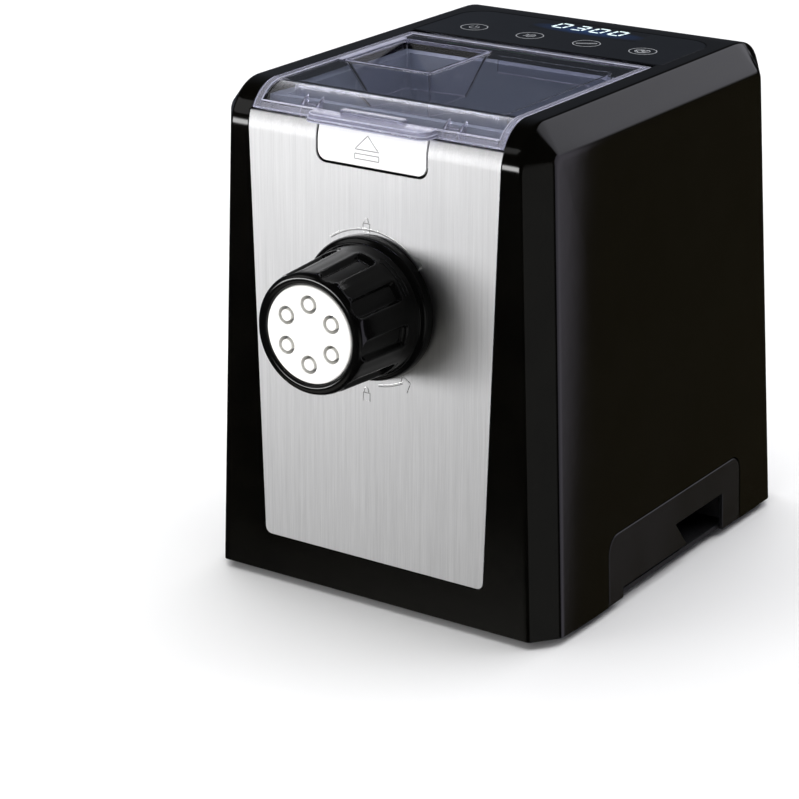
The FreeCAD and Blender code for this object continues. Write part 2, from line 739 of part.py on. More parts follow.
ring("shaft_seal", shaft_r + 0.05, 12.0, 149.0, 156.5)
ring("front_bearing", shaft_r + 0.05, 14.0, 157.0, 163.0)
ring("rear_bearing", shaft_r + 0.05, 13.0, 187.5, 193.0)


def turned(name, pts, x=0.0, z=axis_z):
    """Solid of revolution about a line parallel to Y: pts are (radius, y)."""
    b = body(name + "_body")
    s = sketch(b, name + "_sk", "XY_Plane", 0.0)
    poly(s, pts)
    doc.recompute()
    revolve(b, s, name + "_turn")
    doc.recompute()
    return b


def lift(b, x=0.0, z=axis_z):
    x, z = q(x), q(z)
    b.Placement = FreeCAD.Placement(V(x.v, 0, z.v), FreeCAD.Rotation())
    node(b, b.Label)
    bind(b, "Placement.Base.x", x)
    bind(b, "Placement.Base.z", foot_h + z)
    return b


def relabel(b, label):
    b.Label = label
    return b


# extrusion tube with its flange and three bayonet lugs
tbody = turned("extrusion_tube", [(tube_in, 20.0), (tube_in, -52.8), (tube_out, -52.8),
                                  (tube_out, 11.5), (36.0, 11.5), (36.0, 15.0), (tube_out, 15.0),
                                  (tube_out, 20.0)])
s = sketch(tbody, "lug_sk", "XZ_Plane", 16.0)
a = math.radians(20)
poly(s, [(-30.0 * math.sin(a), 30.0 * math.cos(a)), (-25.0 * math.sin(a), 25.0 * math.cos(a)),
         (25.0 * math.sin(a), 25.0 * math.cos(a)), (30.0 * math.sin(a), 30.0 * math.cos(a))])
doc.recompute()
lug = pad(tbody, s, 4.5, "lug_pad", True)
doc.recompute()
pp = tbody.newObject("PartDesign::PolarPattern", "lug_pattern")
pp.Originals = [lug]
pp.Axis = (plane(tbody, "Y_Axis"), [""])
pp.Angle = 360
pp.Occurrences = 3
tbody.Tip = pp
doc.recompute()
lift(relabel(tbody, "extrusion_tube"))

# locking nut: flange, tapered grip body, front lip, inner bayonet tabs
nb = turned("die_nut", [(nut_bore, -0.6), (nut_flange, -0.6), (nut_flange, -7.0),
                        (nut_flange - 1.5, -8.5), (39.6, -9.0), (37.0, -20.0), (35.2, -58.5),
                        (nut_rim, -61.4), (nut_rim - 1.4, -nut_front), (nut_lip + 0.8, -nut_front),
                        (nut_lip, -61.2), (nut_lip, -57.3), (nut_bore, -57.3)])
s = sketch(nb, "grip_sk", "XZ_Plane", 56.0)
circle(s, 0.0, 42.6, 8.2)
doc.recompute()
gp = pocket(nb, s, 44.0, "grip_pocket", False)
doc.recompute()
pp = nb.newObject("PartDesign::PolarPattern", "grip_pattern")
pp.Originals = [gp]
pp.Axis = (plane(nb, "Y_Axis"), [""])
pp.Angle = 360
pp.Occurrences = 9
nb.Tip = pp
doc.recompute()
s = sketch(nb, "tab_sk", "XZ_Plane", 9.0)
poly(s, [(-32.0 * math.sin(a), 32.0 * math.cos(a)), (-27.6 * math.sin(a), 29.3 * math.cos(a)),
         (27.6 * math.sin(a), 29.3 * math.cos(a)), (32.0 * math.sin(a), 32.0 * math.cos(a))])
doc.recompute()
tp = pad(nb, s, 4.0, "tab_pad", True)
doc.recompute()
pp = nb.newObject("PartDesign::PolarPattern", "tab_pattern")
pp.Originals = [tp]
pp.Axis = (plane(nb, "Y_Axis"), [""])
pp.Angle = 360
pp.Occurrences = 3
nb.Tip = pp
doc.recompute()
lift(relabel(nb, "die_nut"))

# die disc: six ring-shaped openings, each with a core pin on a bridge
db = turned("die_disc", [(0.0, -53.0), (30.0, -53.0), (30.0, -57.0), (28.4, -57.0), (28.4, -60.6),
                         (27.8, -61.2), (0.0, -61.2)])
s = sketch(db, "die_hole_sk", "XZ_Plane", 48.0)
circle(s, 0.0, 17.5, 5.3)
circle(s, 0.0, 17.5, 3.4)
doc.recompute()
hp = pocket(db, s, 16.0, "die_hole", True)
doc.recompute()
pp = db.newObject("PartDesign::PolarPattern", "die_hole_pattern")
pp.Originals = [hp]
pp.Axis = (plane(db, "Y_Axis"), [""])
pp.Angle = 360
pp.Occurrences = 6
db.Tip = pp
doc.recompute()
s = sketch(db, "bridge_sk", "XZ_Plane", 53.0)
poly(s, [(-7.0, 16.6), (7.0, 16.6), (7.0, 18.4), (-7.0, 18.4)])
doc.recompute()
bp = pad(db, s, 2.5, "bridge_pad", False)
doc.recompute()
pp = db.newObject("PartDesign::PolarPattern", "bridge_pattern")
pp.Originals = [bp]
pp.Axis = (plane(db, "Y_Axis"), [""])
pp.Angle = 360
pp.Occurrences = 6
db.Tip = pp
doc.recompute()
lift(relabel(db, "die_disc"))

# ---------------------------------------------------------------- drive line
lift(relabel(turned("drive_shaft", [(0.0, 8.0), (shaft_r, 8.0), (shaft_r, 196.0), (0.0, 196.0)]),
             "drive_shaft"))

# extrusion screw: core with one helical flight
eb = turned("extrusion_screw", [(0.0, -49.5), (9.0, -49.5), (9.0, 38.0), (shaft_r, 38.0),
                                (shaft_r, 8.0), (0.0, 8.0)])
s = sketch(eb, "flight_sk", "XY_Plane", 0.0)
poly(s, [(8.0, -46.5), (20.2, -45.5), (20.2, -43.5), (8.0, -41.5)])
doc.recompute()
hx = eb.newObject("PartDesign::AdditiveHelix", "flight")
hx.Profile = s
hx.ReferenceAxis = (s, ["V_Axis"])
hx.Mode = 0
hx.Pitch = 17.0
hx.Height = 72.0
doc.recompute()
lift(relabel(eb, "extrusion_screw"))

# mixing paddle: hub, two framed blades and a cross bar
pk_parts = [cyl("paddle_hub", "y", 12.0, 0, 40, 0, 106)]
for k, (y, deg) in enumerate(((44, 20), (84, 20), (128, 20), (44, 200), (106, 200), (128, 200))):
    b = box("paddle_arm%d" % k, -3, 3, y, y + 7, 9, 55)
    b.Placement = FreeCAD.Placement(FreeCAD.Rotation(V(0, 1, 0), deg).multVec(V(-3, y, 9)),
                                    FreeCAD.Rotation(V(0, 1, 0), deg))
    pk_parts.append(b)
for k, (y0, y1, deg) in enumerate(((44, 135, 20), (44, 135, 200))):
    b = box("paddle_blade%d" % k, -4, 4, y0, y1, 50, 56)
    b.Placement = FreeCAD.Placement(FreeCAD.Rotation(V(0, 1, 0), deg).multVec(V(-4, y0, 50)),
                                    FreeCAD.Rotation(V(0, 1, 0), deg))
    pk_parts.append(b)
pd = cut("mixing_paddle_cut", fuse("paddle_sum", *pk_parts),
         cyl("paddle_bore", "y", shaft_r, 0, 30, 0, 130))
pd.Placement = FreeCAD.Placement(V(0, 0, axis_z.v), FreeCAD.Rotation())
node(pd, "mixing_paddle")
bind(pd, "Placement.Base.z", foot_h + axis_z)

# gear train: motor pinion, compound idler and output gear on one line
idl_d = (gear_m2 * (teeth_small + teeth_out)) / 2 + mesh_play
mot_d = (gear_m1 * (teeth_pinion + teeth_large)) / 2 + mesh_play
idl_x, idl_z = -(line_x * idl_d), axis_z - line_z * idl_d
mot_x, mot_z = -(line_x * (idl_d + mot_d)), axis_z - line_z * (idl_d + mot_d)

# plate that carries the gears and the motor
gp_b = body("gear_plate_body")
s = sketch(gp_b, "gear_plate_sk", "XZ_Plane", -plate_y)
poly(s, [(-96, 3.0), (14, 3.0), (14, 50), (74, 50), (74, 250), (-74, 250), (-96, 200)])
circle(s, 0.0, axis_z, 14.0)
circle(s, idl_x, idl_z, 4.0)
circle(s, mot_x, mot_z, 7.0)
doc.recompute()
pad(gp_b, s, plate_t, "gear_plate_pad", True)
doc.recompute()
node(gp_b, "gear_plate")


def gear_wire(m, z, half_play, phase):
    """Involute gear outline in the x-z plane, with the play taken off each flank."""
    rp = m * z / 2.0
    rb = rp * math.cos(math.radians(20))
    ra = rp + 0.95 * m
    rf = rp - 1.2 * m

    def inv(r):
        if r <= rb:
            return 0.0
        al = math.acos(rb / r)
        return math.tan(al) - al

    base_half = math.pi / (2 * z) + inv(rp) - half_play / rp
    pts = []
    for i in range(z):
        c = 2 * math.pi * i / z + phase
        r_lo = max(rf, rb)
        left, right = [], []
        for k in range(6):
            r = r_lo + (ra - r_lo) * k / 5.0
            h = base_half - inv(r)
            left.append((r, c - h))
            right.append((r, c + h))
        if rf < rb:
            left.insert(0, (rf, c - base_half))
            right.insert(0, (rf, c + base_half))
        pts += left + right[::-1]
    v = [V(r * math.sin(t), 0, r * math.cos(t)) for r, t in pts]
    return Part.makePolygon(v + [v[0]])


def gear_disc(m, z, y0, y1, phase, bore):
    w = gear_wire(m, z, 0.10, phase)
    f = Part.Face(w)
    shp = f.extrude(V(0, y1 - y0, 0))
    shp.translate(V(0, y0, 0))
    hole = Part.makeCylinder(bore, y1 - y0 + 2, V(0, y0 - 1, 0), V(0, 1, 0))
    return shp.cut(hole)


def gear_node(name, shape, x, z):
    f = doc.addObject("Part::Feature", name + "_feature")
    f.Shape = shape
    x, z = q(x), q(z)
    f.Placement = FreeCAD.Placement(V(x.v, 0, z.v), FreeCAD.Rotation())
    node(f, name)
    bind(f, "Placement.Base.x", x)
    bind(f, "Placement.Base.z", foot_h + z)
    return f


m1, m2 = sheet.first_stage_module, sheet.second_stage_module
zp, zl, zs, zo = (int(sheet.pinion_teeth), int(sheet.large_idler_teeth),
                  int(sheet.small_idler_teeth), int(sheet.output_teeth))
# direction of the gear line, measured like the tooth angles (from +Z towards +X)
up = math.atan2(line_x.v, line_z.v)
# output gear: a tooth space points down the line; idler small gear: a tooth points up it
out_phase = up + math.pi + math.pi / zo
small_phase = up
large_phase = up + math.pi + math.pi / zl
pin_phase = up
out_gear = gear_disc(m2, zo, 174.0, 184.0, out_phase, 6.0)
web = Part.makeCylinder(36, 3, V(0, 173, 0), V(0, 1, 0)).cut(
    Part.makeCylinder(14, 5, V(0, 172, 0), V(0, 1, 0)))
out_gear = out_gear.cut(web)
gear_node("output_gear", out_gear, 0.0, axis_z)
big = gear_disc(m1, zl, 164.5, 171.5, large_phase, 4.05)
small = gear_disc(m2, zs, 171.5, 185.0, small_phase, 4.05)
gear_node("idler_gear", big.fuse(small), idl_x, idl_z)
gear_node("motor_pinion", gear_disc(m1, zp, 163.5, 172.5, pin_phase, 3.0), mot_x, mot_z)

lift(relabel(turned("idler_axle", [(0.0, 158.0), (4.0, 158.0), (4.0, 190.0), (0.0, 190.0)]),
             "idler_axle"), idl_x, idl_z)
lift(relabel(turned("motor_shaft", [(0.0, 44.0), (3.0, 44.0), (3.0, 175.0), (0.0, 175.0)]),
             "motor_shaft"), mot_x, mot_z)
lift(relabel(turned("motor_rotor", [(3.0, 76.0), (21.0, 76.0), (21.0, 140.0), (3.0, 140.0)]),
             "motor_rotor"), mot_x, mot_z)
lift(relabel(turned("motor_can", [(motor_r - 3.0, 66.0), (motor_r, 66.0), (motor_r, 150.0),
                                  (motor_r - 3.0, 150.0)]), "motor_can"), mot_x, mot_z)
lift(relabel(turned("motor_rear_bell", [(3.05, 150.0), (motor_r, 150.0), (motor_r, 154.0),
                                        (12.0, 158.0), (3.05, 158.0)]),
             "motor_rear_bell"), mot_x, mot_z)
lift(relabel(turned("motor_front_bell", [(3.05, 58.0), (12.0, 58.0), (motor_r, 62.0),
                                         (motor_r, 66.0), (3.05, 66.0)]),
             "motor_front_bell"), mot_x, mot_z)
fan = [cyl("fan_hub", "y", 9.0, 0, 46, 0, 10)]
for k in range(8):
    b = box("fan_blade%d" % k, -1, 1, 47, 55, 7, 26)
    b.Placement = FreeCAD.Placement(FreeCAD.Rotation(V(0, 1, 0), 45 * k).multVec(V(-1, 47, 7)),
                                    FreeCAD.Rotation(V(0, 1, 0), 45 * k))
    fan.append(b)
fan.append(cyl("fan_disc", "y", 26.0, 0, 54.5, 0, 1.5))
fn = cut("motor_fan_cut", fuse("fan_sum", *fan), cyl("fan_bore", "y", 3.0, 0, 40, 0, 20))
fn.Placement = FreeCAD.Placement(V(mot_x.v, 0, mot_z.v), FreeCAD.Rotation())
node(fn, "motor_fan")
bind(fn, "Placement.Base.x", mot_x)
bind(fn, "Placement.Base.z", foot_h + mot_z)

# bracket strap that holds the motor's front end on the base
mb = fuse("motor_strap_a", box("strap_post", mot_x - 26, mot_x + 26, 68, 74, 3, mot_z - 20),
          cyl("strap_ring", "y", motor_r + 2.5, mot_x, 68, mot_z, 6))
node(cut("motor_strap_cut", mb, cyl("strap_bore", "y", motor_r, mot_x, 60, mot_z, 20)), "motor_strap")

# gear cover: a box over the gear train, open towards the plate
cov = cut("gear_cover_a", box("cover_out", -76, 52, plate_y + plate_t, 190, 62, 234),
          box("cover_in", -73.5, 49.5, 150, 187.5, 64.5, 231.5))
cov_holes = fuse("cover_holes", cyl("cover_h1", "y", 13.0, 0, 180, axis_z, 20),
                 cyl("cover_h2", "y", 4.0, idl_x, 180, idl_z, 20))
node(cut("gear_cover_cut", cov, cov_holes), "gear_cover")

# ---------------------------------------------------------------- electrics
glass_skin = cut("glass_skin", form_outer, form_glass)
node(common("control_panel_common", glass_skin,
            ctl_prism("glass_prism", 0.0, 280.0, 310.0, ctl_y0)), "control_panel")
node(cut("control_board_cut", box("board_plate", -70, 70, 186, 238, 289.0, 290.6),
         box("board_notch", -6, 6, 180, 190, 280, 300)), "control_board")
node(cut("display_cut", box("display_box", -26, 34, 224, 236, 290.6, 298.5),
         box("display_notch", -23, 31, 226, 234, 297.9, 299)), "display_module")
pb_parts = [box("power_plate", -100, -98.4, 172, 252, 3, 92),
            box("power_block", -98.4, -80, 180, 206, 40, 70),
            cyl("power_cap", "x", 8.0, -98.4, 228, 60, 26),
            box("power_relay", -98.4, -84, 214, 240, 22, 40)]
node(fuse("power_board_fuse", *pb_parts), "power_board")

# ---------------------------------------------------------------- drawer
# tray that slides out to the right, with a finger well in its front wall
tray_out = common("tray_out", box("tray_box", tray_x0, 130, tray_y0, tray_y1, tray_z0, tray_z1),
                  form_inner)
well_keep = box("well_keep", 100.0, 130, 147.5, 214.0, -2, 27.0)
tray_cav = cut("tray_cav", box("tray_cavity", tray_x0 + 2, 114.5, tray_y0 + 2, tray_y1 - 2,
                               tray_z0 + 2, 60), well_keep)
tray_a = cut("tray_a", tray_out, tray_cav)
well_hole = box("well_hole", 102.0, 130, 149.5, 212.0, -2, 25.0)
node(cut("drawer_tray_cut", tray_a, well_hole), "drawer_tray")

fbody = body("drawer_prism")
s = sketch(fbody, "drawer_prism_sk", "YZ_Plane", 100.0)
poly(s, [(dr_y0, 0.0), (86.0, 0.0), (86.0, 6.5), (175.0, 6.5), (175.0, 0.0), (dr_y1, 0.0),
         (dr_y1, dr_h), (dr_y0, dr_h)])
doc.recompute()
pad(fbody, s, 40.0, "drawer_prism_pad")
doc.recompute()
round_corners(fbody, "drawer_prism", [(dr_y0, dr_h, 10.2), (dr_y1, dr_h, 10.2)], "x")
s = sketch(fbody, "finger_sk", "YZ_Plane", 90.0)
poly(s, [(151.0, 24.0), (171.0, -1.0), (211.0, -1.0), (211.0, 24.0)])
doc.recompute()
pocket(fbody, s, 60.0, "finger_cut", True)
doc.recompute()
dfront = common("drawer_front_common", shell, fbody)
node(dfront, "drawer_front")

for nm, y0, y1, ly0, ly1 in (("drawer_rail_front", 71.0, 73.7, 71.0, 81.0),
                             ("drawer_rail_rear", 229.3, 232.0, 222.0, 232.0)):
    node(fuse(nm + "_fuse", box(nm + "_side", 24, 112, y0, y1, 3, 22),
              box(nm + "_ledge", 24, 112, ly0, ly1, 3, 6.8)), nm)

# ---------------------------------------------------------------- check, write
doc.recompute()
bad = []
for o in doc.Objects:
    if "Invalid" in o.State or "Error" in o.State:
        bad.append(o.Name + " " + str(o.State))
for o in nodes:
    shp = o.Shape
    if shp.isNull() or not shp.isValid():
        bad.append(o.Label + " shape")
        continue
    bb = shp.optimalBoundingBox(False, False)
    print("%-22s solids %d vol %9.0f  x %.1f %.1f y %.1f %.1f z %.1f %.1f" % (
        o.Label, len(shp.Solids), shp.Volume, bb.XMin, bb.XMax, bb.YMin, bb.YMax, bb.ZMin, bb.ZMax))
if bad:
    raise RuntimeError("failed objects: " + "; ".join(bad))
os.makedirs("parts", exist_ok=True)
for o in nodes:
    o.Shape.exportStep("parts/" + o.Label + ".step")
print(len(nodes), "sub-parts written")
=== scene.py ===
import json
import math

import bmesh
import bpy
import numpy as np
from mathutils import Matrix, Vector


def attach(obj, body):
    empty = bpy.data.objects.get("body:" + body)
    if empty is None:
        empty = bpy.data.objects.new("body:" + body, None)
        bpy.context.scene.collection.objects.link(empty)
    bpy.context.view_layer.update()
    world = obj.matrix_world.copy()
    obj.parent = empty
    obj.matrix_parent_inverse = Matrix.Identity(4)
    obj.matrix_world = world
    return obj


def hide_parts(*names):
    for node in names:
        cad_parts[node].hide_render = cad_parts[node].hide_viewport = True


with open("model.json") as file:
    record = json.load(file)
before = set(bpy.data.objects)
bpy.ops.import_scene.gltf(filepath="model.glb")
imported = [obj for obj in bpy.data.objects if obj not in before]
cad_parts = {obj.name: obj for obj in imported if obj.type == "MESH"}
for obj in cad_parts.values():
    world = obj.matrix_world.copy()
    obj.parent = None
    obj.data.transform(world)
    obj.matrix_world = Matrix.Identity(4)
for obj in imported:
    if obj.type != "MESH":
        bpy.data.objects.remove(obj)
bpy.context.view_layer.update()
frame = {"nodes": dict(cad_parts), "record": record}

scene = bpy.context.scene
nodes = frame["nodes"]
body_of = {n: b for b, ns in frame["record"]["behaviour"]["bodies"].items() for n in ns}


# ------------------------------------------------------------------ helpers
# Pieces are written in the machine's own millimetres: x across, y back from
# the front face, z up from the body's lower edge.  R() gives frame metres.
def R(x, y, z):
    return Vector((x * 0.001, (y - 117.0) * 0.001, (z + 5.0) * 0.001))


def W(z):
    """Half width of the side faces at a height."""
    return 122.21 - 0.0394 * z


def link(ob):
    scene.collection.objects.link(ob)
    return ob


def mesh_obj(name, verts, faces, raw=False):
    me = bpy.data.meshes.new(name)
    me.from_pydata([tuple(v) if raw else tuple(R(*v)) for v in verts], [], faces)
    me.validate()
    me.update()
    return link(bpy.data.objects.new(name, me))


def outward(ob):
    bm = bmesh.new()
    bm.from_mesh(ob.data)
    bmesh.ops.recalc_face_normals(bm, faces=bm.faces[:])
    bm.to_mesh(ob.data)
    bm.free()


def applied(ob):
    """Bake the modifiers into the mesh."""
    bpy.context.view_layer.update()
    dg = bpy.context.evaluated_depsgraph_get()
    me = bpy.data.meshes.new_from_object(ob.evaluated_get(dg))
    old = ob.data
    ob.modifiers.clear()
    ob.data = me
    if old.users == 0:
        bpy.data.meshes.remove(old)
    return ob


def shade(ob, angle=32.0):
    ob.data.shade_smooth()
    ob.data.set_sharp_from_angle(angle=math.radians(angle))


def cut_with(ob, cutter, op="DIFFERENCE"):
    m = ob.modifiers.new("cut", "BOOLEAN")
    m.operation = op
    m.object = cutter
    m.solver = "EXACT"
    applied(ob)
    bpy.data.objects.remove(cutter)


def soft_edges(ob, width, segments=2, angle=38.0, clean=True, harden=False):
    """Join flat facets, then round every edge sharper than the angle."""
    bm = bmesh.new()
    bm.from_mesh(ob.data)
    bmesh.ops.remove_doubles(bm, verts=bm.verts[:], dist=2e-6)
    if clean:
        bmesh.ops.dissolve_limit(bm, angle_limit=math.radians(0.6), verts=bm.verts[:], edges=bm.edges[:])
    bm.to_mesh(ob.data)
    bm.free()
    if harden:
        shade(ob, 34)
    m = ob.modifiers.new("edge", "BEVEL")
    m.harden_normals = harden
    m.width = width * 0.001
    m.segments = segments
    m.limit_method = "ANGLE"
    m.angle_limit = math.radians(angle)
    m.use_clamp_overlap = True
    m.miter_outer = "MITER_ARC"
    applied(ob)


def weighted(ob, angle=32.0):
    shade(ob, angle)
    m = ob.modifiers.new("normals", "WEIGHTED_NORMAL")
    m.keep_sharp = True
    m.weight = 60


def join(name, obs):
    """One mesh object from several."""
    bm = bmesh.new()
    for o in obs:
        tmp = o.data.copy()
        tmp.transform(o.matrix_world)
        bm.from_mesh(tmp)
        bpy.data.meshes.remove(tmp)
    me = bpy.data.meshes.new(name)
    bm.to_mesh(me)
    bm.free()
    for o in obs:
        bpy.data.objects.remove(o)
    return link(bpy.data.objects.new(name, me))


def place(ob, body, mat=None, node=None):
    if mat is not None:
        ob.data.materials.clear()
        ob.data.materials.append(mat)
    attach(ob, body)
    if node:
        for n in (node if isinstance(node, (list, tuple)) else [node]):
            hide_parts(n)
    return ob


def copy_of(node, name):
    """A new piece that starts from the solid of a node, without its stored custom normals."""
    src = nodes[node]
    me = src.data.copy()
    me.name = name
    ob = link(bpy.data.objects.new(name, me))
    if me.has_custom_normals:
        at = me.attributes.get("custom_normal")
        if at is not None:
            me.attributes.remove(at)
    return ob


def prism(name, outline, a0, a1, axis="y"):
    """Straight prism of a 2D outline.  axis y: points are (x, z); z: (x, y); x: (y, z)."""
    n = len(outline)

    def at(p, a):
        return {"y": (p[0], a, p[1]), "z": (p[0], p[1], a), "x": (a, p[0], p[1])}[axis]
    verts = [at(p, a0) for p in outline] + [at(p, a1) for p in outline]
    faces = [tuple(range(n)), tuple(range(2 * n - 1, n - 1, -1))]
    faces += [(i, n + i, n + (i + 1) % n, (i + 1) % n) for i in range(n)]
    ob = mesh_obj(name, verts, faces)
    outward(ob)
    return ob


def round_poly(pts, radii, n=8):
    """Polygon with rounded corners."""
    out = []
    m = len(pts)
    for i in range(m):
        p = np.array(pts[i], float)
        a = np.array(pts[i - 1], float)
        b = np.array(pts[(i + 1) % m], float)
        r = radii[i]
        if r <= 0:
            out.append(tuple(p))
            continue
        u = (a - p) / np.linalg.norm(a - p)
        v = (b - p) / np.linalg.norm(b - p)
        half = math.acos(max(-1, min(1, float(u @ v)))) / 2
        d = r / math.tan(half)
        c = p + (u + v) / np.linalg.norm(u + v) * r / math.sin(half)
        s = p + u * d - c
        e = p + v * d - c
        a0 = math.atan2(s[1], s[0])
        a1 = math.atan2(e[1], e[0])
        da = (a1 - a0 + math.pi) % (2 * math.pi) - math.pi
        for k in range(n + 1):
            t = a0 + da * k / n
            out.append((c[0] + r * math.cos(t), c[1] + r * math.sin(t)))
    return out


def revolve(name, profile, n=96, axis="y", centre=(0.0, 182.4)):
    """Closed ring from a closed (radius, along) profile about an axis along y, or about z."""
    m = len(profile)
    verts, faces = [], []
    for k in range(n):
        t = 2 * math.pi * k / n
        for r, a in profile:
            if axis == "y":
                verts.append((centre[0] + r * math.sin(t), a, centre[1] + r * math.cos(t)))
            else:
                verts.append((centre[0] + r * math.cos(t), centre[1] + r * math.sin(t), a))
    for k in range(n):
        k2 = (k + 1) % n
        for i in range(m):
            j = (i + 1) % m
            faces.append((k * m + i, k * m + j, k2 * m + j, k2 * m + i))
    ob = mesh_obj(name, verts, faces)
    outward(ob)
    return ob


def tube(name, paths, radius, flat=1.0, axis=1, sides=8, cyclic=False):
    """Thin rounded line along points, flattened along one axis."""
    obs = []
    for k, pts in enumerate(paths):
        pts = [np.array(p, float) for p in pts]
        n = len(pts)
        closed = cyclic
        verts, faces = [], []
        for i in range(n):
            a = pts[i - 1] if (i > 0 or closed) else pts[0]
            b = pts[(i + 1) % n] if (i < n - 1 or closed) else pts[-1]
            d = b - a
            d = d / max(np.linalg.norm(d), 1e-9)
            up = np.zeros(3)
            up[axis] = 1.0
            s = np.cross(d, up)
            s = s / max(np.linalg.norm(s), 1e-9)
            for q in range(sides):
                t = 2 * math.pi * q / sides
                verts.append(pts[i] + s * radius * math.cos(t) + up * radius * flat * math.sin(t))
        rng = n if closed else n - 1
        for i in range(rng):
            i2 = (i + 1) % n
            for q in range(sides):
                q2 = (q + 1) % sides
                faces.append((i * sides + q, i * sides + q2, i2 * sides + q2, i2 * sides + q))
        if not closed:
            faces.append(tuple(range(sides - 1, -1, -1)))
            faces.append(tuple(range((n - 1) * sides, n * sides)))
        obs.append(mesh_obj(name + "_p%d" % k, verts, faces))
    ob = obs[0] if len(obs) == 1 else join(name, obs)
    ob.name = name
    ob.data.name = name
    outward(ob)
    return ob


# ------------------------------------------------------------------ camera
f_px, az, el, roll, tx, ty, dist = 2778.06, 33.81, 20.16, 0.127, 16.425, 118.203, 1643.393
az, el, roll = math.radians(az), math.radians(el), math.radians(roll)
back = Vector((math.sin(az) * math.cos(el), -math.cos(az) * math.cos(el), math.sin(el)))
right = Vector((math.cos(az), math.sin(az), 0))
upv = back.cross(right)
cR = right * math.cos(roll) + upv * math.sin(roll)
cU = upv * math.cos(roll) - right * math.sin(roll)
cam_data = bpy.data.cameras.new("camera")
cam = link(bpy.data.objects.new("camera", cam_data))
place_at = (cR * tx + cU * ty + back * dist) * 0.001 + Vector((0, -0.117, 0.005))
cam.matrix_world = Matrix((
    (cR.x, cU.x, back.x, place_at.x),
    (cR.y, cU.y, back.y, place_at.y),
    (cR.z, cU.z, back.z, place_at.z),
    (0, 0, 0, 1)))
cam_data.sensor_width = 36.0
cam_data.lens = f_px / 799.0 * 36.0
cam_data.clip_start = 0.05
cam_data.clip_end = 60.0
scene.camera = cam
scene.view_settings.view_transform = "Standard"


# ------------------------------------------------------------------ materials
class Mat:
    def __init__(self, name, **sockets):
        self.m = bpy.data.materials.new(name)
        self.m.use_nodes = True
        self.nt = self.m.node_tree
        self.nt.nodes.clear()
        self.out = self.nt.nodes.new("ShaderNodeOutputMaterial")
        self.b = self.nt.nodes.new("ShaderNodeBsdfPrincipled")
        self.nt.links.new(self.b.outputs[0], self.out.inputs[0])
        self.tc = self.nt.nodes.new("ShaderNodeTexCoord")
        for k, v in sockets.items():
            self.b.inputs[k.replace("_", " ")].default_value = v

    def new(self, kind, **props):
        n = self.nt.nodes.new(kind)
        for k, v in props.items():
            setattr(n, k, v)
        return n

    def link(self, a, b):
        self.nt.links.new(a, b)

    def coords(self, scale):
        mp = self.new("ShaderNodeMapping")
        mp.inputs["Scale"].default_value = scale
        self.link(self.tc.outputs["Object"], mp.inputs["Vector"])
        return mp.outputs[0]

    def noise(self, scale, detail=3.0, rough=0.55, stretch=(1, 1, 1), dist_=0.0):
        n = self.new("ShaderNodeTexNoise")
        n.inputs["Scale"].default_value = scale
        n.inputs["Detail"].default_value = detail
        n.inputs["Roughness"].default_value = rough
        n.inputs["Distortion"].default_value = dist_
        self.link(self.coords(stretch), n.inputs["Vector"])
        return n.outputs[0]

    def span(self, src, lo, hi, f0=0.3, f1=0.7, smooth=False):
        r = self.new("ShaderNodeMapRange")
        if smooth:
            r.interpolation_type = "SMOOTHSTEP"
        r.inputs["From Min"].default_value = f0
        r.inputs["From Max"].default_value = f1
        r.inputs["To Min"].default_value = lo
        r.inputs["To Max"].default_value = hi
        self.link(src, r.inputs["Value"])
        return r.outputs[0]

    def mix(self, fac, a, b):
        m = self.new("ShaderNodeMix", data_type="RGBA")
        self.link(fac, m.inputs["Factor"])
        for sock, v in ((m.inputs["A"], a), (m.inputs["B"], b)):
            pass
        ins = [i for i in m.inputs if i.type == "RGBA"]
        for sock, v in zip(ins, (a, b)):
            if isinstance(v, (tuple, list)):
                sock.default_value = tuple(v) + (1.0,) if len(v) == 3 else v
            else:
                self.link(v, sock)
        return [o for o in m.outputs if o.type == "RGBA"][0]

    def math(self, op, a, b):
        m = self.new("ShaderNodeMath", operation=op)
        for i, v in enumerate((a, b)):
            if isinstance(v, (int, float)):
                m.inputs[i].default_value = v
            else:
                self.link(v, m.inputs[i])
        return m.outputs[0]

    def bump(self, src, strength, distance, prev=None):
        b = self.new("ShaderNodeBump")
        b.inputs["Strength"].default_value = strength
        b.inputs["Distance"].default_value = distance
        self.link(src, b.inputs["Height"])
        if prev is not None:
            self.link(prev, b.inputs["Normal"])
        return b.outputs[0]

    def edge(self, lo=0.52, hi=0.60):
        g = self.new("ShaderNodeNewGeometry")
        return self.span(g.outputs["Pointiness"], 0.0, 1.0, lo, hi)

    def set(self, key, src):
        self.link(src, self.b.inputs[key])


def rgb(r, g, b):
    return (r, g, b, 1.0)


def gloss_plastic(name, dark, light, r0, r1, level=0.42, wear=0.0, peel=0.05):
    m = Mat(name)
    m.b.inputs["Specular IOR Level"].default_value = level
    m.b.inputs["IOR"].default_value = 1.5
    base = m.mix(m.span(m.noise(38, 4), 0, 1), dark, light)
    if wear:
        rim = m.mix(m.math("MULTIPLY", m.edge(), m.span(m.noise(260, 3), 0.1, 0.9)), (0, 0, 0), (wear, wear, wear * 1.05))
        add = m.new("ShaderNodeMix", data_type="RGBA", blend_type="ADD")
        add.inputs["Factor"].default_value = 1.0
        ins = [i for i in add.inputs if i.type == "RGBA"]
        m.link(base, ins[0])
        m.link(rim, ins[1])
        base = [o for o in add.outputs if o.type == "RGBA"][0]
    m.set("Base Color", base)
    smear = m.noise(14, 5, 0.6, (1, 1, 0.5), 0.6)
    m.set("Roughness", m.span(smear, r0, r1, 0.35, 0.7))
    wave = m.bump(m.noise(55, 2), peel, 0.0006)
    m.set("Normal", m.bump(m.noise(1500, 3), peel * 0.6, 0.00012, wave))
    return m.m


